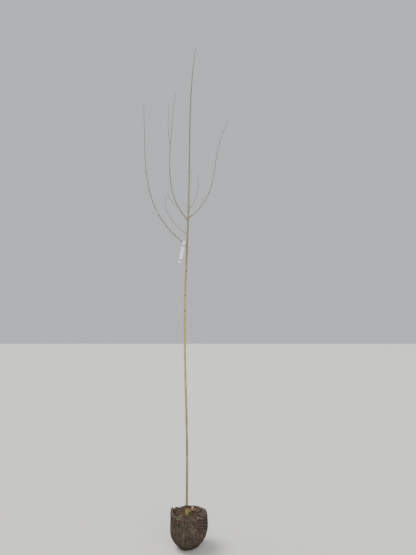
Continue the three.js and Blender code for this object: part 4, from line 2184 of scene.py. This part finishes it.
@dataclass
class Litter(BallPart):
    """What lies loose on the ball's top: crumbs, fine roots, frayed threads, leaves and flakes."""

    soil: Material
    crumb_rings: tuple[float, ...] = (0.016, 0.032, 0.048, 0.064, 0.08, 0.094)
    crumb_columns: int = 48
    crumb_size: float = 0.002
    crumb_density: float = 21000.0
    roots: int = 30
    root_steps: int = 12
    root_reach: float = 0.092
    root_radius: float = 0.00045
    threads: int = 230
    thread_radius: float = 0.00026
    brown_leaves: int = 34
    leaf_thickness: float = 0.00035

    def build(self) -> None:
        """Build every kind of litter."""
        rng = np.random.default_rng(77)
        self.build_crumbs(rng)
        self.build_roots(rng)
        self.build_threads(rng)
        self.build_leaves(rng)

    def build_crumbs(self, rng: np.random.Generator) -> None:
        """Strew crumbs of soil over the open top.

        Args:
            rng: Source of a crumb's lumps.
        """
        angles = round_angles(self.crumb_columns)
        radii = np.array(self.crumb_rings)[:, None]
        x, y = radii * np.cos(angles), radii * np.sin(angles)
        grid = np.stack([x, y, self.shape.ground(x, y) + 0.0006], axis=-1)
        facing_up = [0, 3, 2, 1]
        patch = MeshBatch()
        patch.add_grid(grid, cells(len(radii) - 1, self.crumb_columns)[:, facing_up])
        run = np.linspace(-1.0, 1.0, 5)
        centres = np.stack([0.3 * run**2, 0.2 * run, 0.75 * run], axis=-1) * self.crumb_size
        lumps = 1.05 * self.crumb_size * rng.uniform(0.65, 1.3, (5, 7))
        crumb = one_tube(centres, np.sqrt(1.1 - run**2)[:, None] * lumps, 7)
        tree = CoverTree("crumb_cover", self.soil, upright=False)
        values = {"Density": self.crumb_density, "Smallest": 0.25, "Largest": 1.2, "Lean": 3.0, "Seed": 5}
        piece = tree.strew("soil_crumbs", patch.build("crumb_ground"), crumb, values, self.room)
        publish(piece, Slot.ROOT_BALL)

    def build_roots(self, rng: np.random.Generator) -> None:
        """Build the fine roots that wander over the soil.

        Args:
            rng: Source of their ways.
        """
        lines = []
        for _ in range(self.roots):
            azimuth = rng.uniform(0.0, TURN)
            radius = rng.uniform(0.035, 0.085)
            heading = rng.uniform(0.0, TURN)
            spot = radius * level(azimuth)[:2]
            line = []
            for _ in range(self.root_steps):
                line.append([*spot, self.shape.ground(*spot) + rng.uniform(0.0002, 0.0016)])
                heading += rng.normal(0.0, 0.35)
                step = level(heading)[:2] * rng.uniform(0.002, 0.004)
                spot = spot + step * (np.linalg.norm(spot + step) < self.root_reach)
            shortest = np.linalg.norm(np.diff(line, axis=0), axis=1).min()
            if shortest > 0.0005:
                lines.append(resample(np.array(line), 0.002))
        finish = PlainFinish("root_fibre", (140, 112, 84), (78, 56, 42), 200.0, 0.85, 0.0002).build()
        values = {"Radius": self.root_radius, "Sides": 6}
        CordTree("fibre_cord", finish).lay("fine_roots", lines, values, self.room)

    def build_threads(self, rng: np.random.Generator) -> None:
        """Build the frayed threads of the hem, which bend inwards over the soil.

        Args:
            rng: Source of their places and bends.
        """
        run = np.linspace(0.0, 1.0, 7)
        lines = []
        for _ in range(self.threads):
            azimuth = rng.uniform(0.0, TURN)
            radius = rng.uniform(0.070, 0.094)
            inward = azimuth + math.pi + rng.normal(0.0, 0.5)
            length = rng.uniform(0.005, 0.022)
            bend = 0.25 * length * rng.normal(0.0, 1.0) * run**2
            line = radius * level(azimuth) + level(inward) * (length * run)[:, None]
            line += np.cross(UP, level(inward)) * bend[:, None]
            base = self.shape.top(azimuth, np.hypot(line[:, 0], line[:, 1]), 0.0)
            line[:, 2] = base + 0.001 + rng.uniform(0.1, 0.45) * length * np.sin(2.4 * run)
            lines.append(line)
        finish = PlainFinish("hem_thread", (120, 104, 84), (72, 60, 50), 150.0, 0.9, 0.0002).build()
        values = {"Radius": self.thread_radius, "Sides": 5}
        CordTree("thread_cord", finish).lay("hem_threads", lines, values, self.room)

    def add_leaf(self, batch: MeshBatch, leaf: Leaf, rows: int, columns: int) -> None:
        """Add one thin curled leaf that lies on the soil.

        Args:
            batch: The batch that it joins.
            leaf: Its place and sizes.
            rows: Number of rows along it.
            columns: Number of columns across it.
        """
        run = np.linspace(0.0, 1.0, rows)[:, None]
        side = np.linspace(-1.0, 1.0, columns)
        ragged = 1.0 + 0.07 * np.sin(31.0 * run + leaf.heading) + 0.05 * np.sin(13.0 * run)
        half = leaf.width / 2.0 * (np.sin(math.pi * run**0.8) ** 0.75 * 0.97 + 0.03) * ragged
        bend = leaf.curl * (run - 0.35)
        radius = leaf.length / max(leaf.curl, 0.2)
        along = level(math.radians(leaf.heading))
        start = np.array([leaf.x, leaf.y, self.shape.ground(leaf.x, leaf.y) + leaf.rise])
        climb = radius * (1.0 - np.cos(bend)) + leaf.tilt * leaf.length * run
        spine = start + along * radius * np.sin(bend) + UP * climb
        rib = 0.05 * (side == 0.0) * np.sin(math.pi * run)
        veins = 0.03 * np.sin(26.0 * run - 5.0 * np.abs(side)) * np.abs(side)
        waves = 0.08 * np.sin(7.0 * run + leaf.heading) * side**3
        cup = 0.35 * half * side**2 + leaf.width * (veins + waves - rib)
        front = spine[:, None] + np.cross(UP, along) * (half * side)[..., None] + UP * cup[..., None]
        front = front[::-1]
        batch.add_sheet(front, front - UP * self.leaf_thickness)

    def build_leaves(self, rng: np.random.Generator) -> None:
        """Build the dead leaves, pale flakes and brown fragments.

        Args:
            rng: Source of the fragments' places and sizes.
        """
        orange = PlainFinish("orange_leaf", (152, 108, 74), (98, 66, 48), 220.0, 0.6, 0.0003)
        beige = PlainFinish("beige_leaf", (186, 166, 130), (128, 104, 76), 200.0, 0.65, 0.0003)
        flake = PlainFinish("pale_flake", (190, 186, 164), (132, 126, 106), 180.0, 0.7, 0.0002)
        kinds = {
            orange: [Leaf(0.010, 0.008, 20, 0.036, 0.021, 0.9), Leaf(-0.002, 0.030, 130, 0.024, 0.013, 1.1)],
            beige: [
                Leaf(0.020, 0.050, 60, 0.034, 0.014, 2.2, 0.2),
                Leaf(-0.060, -0.058, -20, 0.020, 0.009, 1.0),
            ],
            flake: [
                Leaf(0.042, 0.036, 100, 0.014, 0.007, 0.6),
                Leaf(0.062, 0.019, 30, 0.016, 0.008, 0.7),
                Leaf(-0.050, -0.056, 80, 0.012, 0.006, 0.5),
            ],
        }
        for finish, leaves in kinds.items():
            batch = MeshBatch()
            for leaf in leaves:
                self.add_leaf(batch, leaf, 26, 11)
            publish(batch.build(finish.name, finish.build(), self.room), Slot.ROOT_BALL)
        litter = MeshBatch()
        for _ in range(self.brown_leaves):
            azimuth = rng.uniform(0.0, TURN)
            x, y, _ = rng.uniform(0.03, 0.088) * level(azimuth)
            length = rng.uniform(0.007, 0.022)
            heading = rng.uniform(0.0, 360.0)
            width = length * rng.uniform(0.35, 0.6)
            leaf = Leaf(x, y, heading, length, width, rng.uniform(0.4, 1.6), rng.uniform(0.0, 0.3))
            self.add_leaf(litter, leaf, 12, 7)
        brown = PlainFinish("brown_litter", (128, 92, 64), (66, 46, 34), 170.0, 0.75, 0.0003).build()
        publish(litter.build("leaf_litter", brown, self.room), Slot.ROOT_BALL)


@dataclass
class Moss(BallPart):
    """The cushion of moss on the foot of the stem, with its fine blades."""

    sides: tuple[float, float] = (-134.0, 14.0)
    foot: float = 0.2392
    tip: float = 0.2780
    crest: float = 0.268
    rows: int = 18
    columns: int = 30
    proud: float = 0.0052
    skirt: float = 0.010
    sunk: float = 0.0012
    blade_length: float = 0.0030
    blade_density: float = 1100000.0

    def build(self) -> None:
        """Build the cushion and its blades."""
        finish = PlainFinish("moss", (178, 192, 110), (98, 124, 62), 330.0, 0.9, 0.0008).build()
        trunk = self.shape.trunk
        ways = level(np.radians(np.linspace(*self.sides, self.columns)))
        heights = np.linspace(self.foot, self.tip, self.rows)[:, None]
        centres = trunk.centre(heights)
        radii = trunk.girth(heights)
        across = np.sin(math.pi * np.linspace(0.0, 1.0, self.columns)) ** 0.6
        crest = self.crest + 0.016 * ripple(ways * 0.013, 150.0, 6.0)
        thickness = across * ease(heights, crest, crest - 0.014)
        lumps = 0.5 * ripple(centres + ways * 0.013, 210.0, 4.0)
        patches = 0.72 * ripple(centres + ways * 0.011, 95.0, 13.0)
        bulge = thickness * (0.75 + lumps) - 0.16 + patches * (1.1 - thickness)
        spread = self.skirt * across**2 * bell((heights - self.foot) / 0.006)
        proud = self.proud * np.clip(bulge, -0.25, 0.8) + spread * np.clip(0.8 + lumps, 0.2, 1.3)
        front = centres + ways * (radii + proud)[..., None]
        back = centres + ways * (radii - self.sunk)[..., None]
        cushion = MeshBatch()
        cushion.add_sheet(front, back)
        publish(cushion.build("moss_cushion", finish, self.room), Slot.ROOT_BALL)
        corners = cells(self.rows - 1, self.columns - 1)
        thick = proud[corners[..., 0], corners[..., 1]].min(axis=1) > 0.0002
        patch = MeshBatch()
        patch.add_grid(front, corners[thick])
        run = np.array([-0.2, 0.35, 0.75, 1.0])
        centres = np.stack([0.18 * run**2, 0.0 * run, run], axis=-1) * self.blade_length
        blade = one_tube(centres, np.array([0.00028, 0.0004, 0.00026, 0.00006]), 4)
        tree = CoverTree("moss_cover", finish, upright=True)
        values = {"Density": self.blade_density, "Smallest": 0.5, "Largest": 1.1, "Lean": 0.6, "Seed": 3}
        piece = tree.strew("moss_blades", patch.build("moss_ground"), blade, values, self.room)
        publish(piece, Slot.ROOT_BALL)


@dataclass
class RootBall:
    """The root ball: soil in dark sacking under a knotted net, drawn together with twine."""

    trunk: Trunk

    def build(self) -> None:
        """Build every part of the ball and tie it to the frame."""
        shape = BallShape(self.trunk)
        room = self.trunk.room
        soil = PlainFinish("soil", (86, 68, 54), (40, 31, 26), 160.0, 0.95, 0.0016).build()
        Wrapping(shape, room, soil).build()
        Netting(shape, room).build()
        Twine(shape, room).build()
        Litter(shape, room, soil).build()
        Moss(shape, room).build()


@dataclass
class Label:
    """A blank white plastic tag: a long strip with a loop round the lowest bough."""

    bough: Bough
    room: Room
    finish: PlasticFinish = PlasticFinish()
    along: float = 0.0165
    step: float = 0.005
    lean: float = 12.2
    width: float = 0.024
    length: float = 0.175
    head: float = 0.014
    thickness: float = 0.0009
    lap: float = 0.0004
    corner: float = 0.006
    bow: float = 0.00264
    dish: float = 0.0006
    twist: float = 0.10
    straight: float = 0.06
    loop_sides: int = 44
    loop_width: float = 0.006
    loop_wall: float = 0.001
    loop_room: float = 0.0014
    loop_crown: float = 0.00015
    gap: float = 0.0003
    tail_width: float = 0.0052
    tail_drop: float = 0.011
    tail_bend: float = 0.0016
    tail_reach: float = 0.0020
    tail_flare: float = 0.0014

    def build(self) -> None:
        """Build the strip, the loop and its tail and tie them to the frame."""
        material = self.finish.build()
        near, far = self.bough.sweep(np.array([self.along, self.along + self.step]))
        along = unit(far - near)
        below = unit(along * along[2] - UP)
        seat = near + below * (self.loop_room - self.gap)
        inner = float(self.bough.girth(self.along)) + self.loop_room
        outer = inner + self.loop_wall
        self.build_strip(material, seat, outer)
        self.build_tail(material, seat, outer)
        self.build_loop(material, seat, along, below, inner, outer)

    def hang(self, seat: Array, x: Array, y: Array, z: Array) -> tuple[Array, Array]:
        """Turn a grid of the tag's own places to the way it hangs.

        Args:
            seat: Where it hangs.
            x: How far across each place lies.
            y: How far behind.
            z: How far above the seat.

        Returns:
            Its front and back grids, half the thickness to each side.
        """
        lean = math.radians(self.lean)
        heading = math.radians(self.bough.azimuth - 180.0)
        right = level(heading)
        behind = np.cross(UP, right)
        tilted = x * math.cos(lean) + z * math.sin(lean)
        raised = z * math.cos(lean) - x * math.sin(lean)
        middle = seat + right * tilted[..., None] + behind * y[..., None] + UP * raised[..., None]
        return middle - behind * self.thickness / 2.0, middle + behind * self.thickness / 2.0

    def build_strip(self, material: Material, seat: Array, outer: float) -> None:
        """Build the strip, with rounded corners and a slight bow and twist.

        Args:
            material: Its finish.
            seat: Where it hangs.
            outer: Outer radius of the loop, which it hangs in front of.
        """
        near = self.corner * np.array([0.03, 0.1, 0.2, 0.35, 0.5, 0.7, 0.85])
        far = self.length - self.corner * np.array([0.03, 0.1, 0.2, 0.35, 0.6])
        runs = np.sort(np.concatenate([np.linspace(0.0, self.length, 70), near, far]))[:, None]
        inset = progress(np.minimum(runs, self.length - runs), self.corner, 0.0)
        half = self.width / 2.0 - self.corner * (1.0 - np.sqrt(1.0 - inset**2))
        side = np.linspace(-1.0, 1.0, 13)
        across = half * side
        arch = ease(np.abs(runs - self.head), 0.0, self.straight) * np.sin(math.pi * runs / self.length)
        turn = self.twist * arch
        y = across * np.sin(turn) - self.bow * arch + self.dish * side**2
        y = y + self.lap - outer - self.thickness / 2.0
        front, back = self.hang(seat, across * np.cos(turn), y, self.head - runs)
        uvs = np.stack(np.broadcast_arrays(across, runs), axis=-1)
        batch = MeshBatch()
        batch.add_sheet(front[::-1], back[::-1], uvs[::-1])
        publish(batch.build("label_strip", material, self.room), Slot.LABEL, "label")

    def build_tail(self, material: Material, seat: Array, outer: float) -> None:
        """Build the end of the loop, drawn through the slot and bent down over the strip.

        Args:
            material: Its finish.
            seat: Where the strip hangs.
            outer: Outer radius of the loop.
        """
        turn = np.linspace(0.0, math.pi / 2.0, 9)
        left = np.linspace(1.0, 0.0, 9, endpoint=False)
        rise = np.concatenate([-self.tail_drop * left, self.tail_bend * np.sin(turn)])
        ahead = np.concatenate([self.tail_reach + self.tail_flare * left, self.tail_reach * np.cos(turn)])
        side = np.linspace(-0.5, 0.5, 5) * self.tail_width
        x, z = np.meshgrid(side, self.head - self.finish.slot_run - self.tail_bend + rise)
        front, back = self.hang(seat, x, (self.lap - outer - self.thickness - ahead)[:, None], z)
        batch = MeshBatch()
        batch.add_sheet(front, back, np.full((*x.shape, 2), self.finish.plain_run))
        publish(batch.build("label_tail", material, self.room), Slot.LABEL)

    def build_loop(
        self, material: Material, seat: Array, along: Array, below: Array, inner: float, outer: float
    ) -> None:
        """Build the loop round the bough, a little crowned on its outside.

        Args:
            material: Its finish.
            seat: Its middle.
            along: Direction of the bough.
            below: Downward direction square to the bough.
            inner: Its inner radius.
            outer: Its outer radius.
        """
        angles = round_angles(self.loop_sides)[:, None]
        rows = np.linspace(-0.5, 0.5, 7)
        ways = below * np.cos(angles) + np.cross(along, below) * np.sin(angles)
        middle = seat + along * (rows * self.loop_width)[:, None, None]
        crowned = outer - self.loop_crown * (2.0 * rows) ** 4
        front = middle + ways * crowned[:, None, None]
        uvs = np.full((len(rows), self.loop_sides + 1, 2), self.finish.plain_run)
        batch = MeshBatch()
        batch.add_sheet(front, middle + ways * inner, uvs, wraps=True)
        publish(batch.build("label_loop", material, self.room), Slot.LABEL)


@dataclass
class Studio:
    """The camera, the plain pale floor and the soft lights."""

    camera_place: tuple[float, float, float] = (0.14, -3.26, 1.632)
    camera_pitch: float = 6.23
    lens: float = 27.05
    sensor: float = 36.0
    floor_size: float = 60.0
    sky: Colour = (204, 208, 212)
    sky_strength: float = 0.95

    def build(self) -> None:
        """Build the camera, floor, world and lights."""
        lens = bpy.data.cameras.new("camera")
        lens.lens = self.lens
        lens.sensor_width = self.sensor
        camera = bpy.data.objects.new("camera", lens)
        camera.location = self.camera_place
        camera.rotation_euler = (math.radians(90.0 + self.camera_pitch), 0.0, 0.0)
        bpy.context.scene.collection.objects.link(camera)
        bpy.context.scene.camera = camera
        half = self.floor_size / 2.0
        corners = [(-half, -half, 0.0), (half, -half, 0.0), (half, half, 0.0), (-half, half, 0.0)]
        mesh = bpy.data.meshes.new("floor")
        mesh.from_pydata(corners, [], [[0, 1, 2, 3]])
        mesh.materials.append(FloorFinish().build())
        place("floor", mesh)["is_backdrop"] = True
        world = bpy.data.worlds.new("soft_sky")
        world.use_nodes = True
        sky = world.node_tree.nodes["Background"]
        sky.inputs["Color"].default_value = linear(self.sky)
        sky.inputs["Strength"].default_value = self.sky_strength
        bpy.context.scene.world = world
        self.sun("key", (-0.55, 0.10, 1.0), 3.2, 35.0)
        self.sun("front_fill", (0.30, -1.0, 0.50), 1.9, 60.0)

    def sun(self, name: str, source: tuple[float, float, float], strength: float, spread: float) -> None:
        """Add one wide, soft, distant light.

        Args:
            name: Its name.
            source: Direction that it comes from.
            strength: Light on a surface that faces it.
            spread: Its width in the sky, in degrees, which softens the shadows.
        """
        lamp = bpy.data.lights.new(name, "SUN")
        lamp.energy = strength
        lamp.angle = math.radians(spread)
        thing = bpy.data.objects.new(name, lamp)
        thing.rotation_euler = Vector(source).to_track_quat("Z", "Y").to_euler()
        bpy.context.scene.collection.objects.link(thing)


def main() -> None:
    """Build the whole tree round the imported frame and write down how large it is."""
    logging.basicConfig(level=logging.INFO, format="%(name)s: %(message)s")
    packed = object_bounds()
    LOG.info("frame nodes: %s", ", ".join(sorted(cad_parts)))
    room = Room(np.array(packed[0]), np.array(packed[1]))
    Studio().build()
    trunk = Trunk(room)
    crown = Crown(trunk)
    trunk.build(crown.collars())
    crown.build()
    RootBall(trunk).build()
    Label(crown.boughs[0], room).build()


if __name__ == "__main__":
    main()
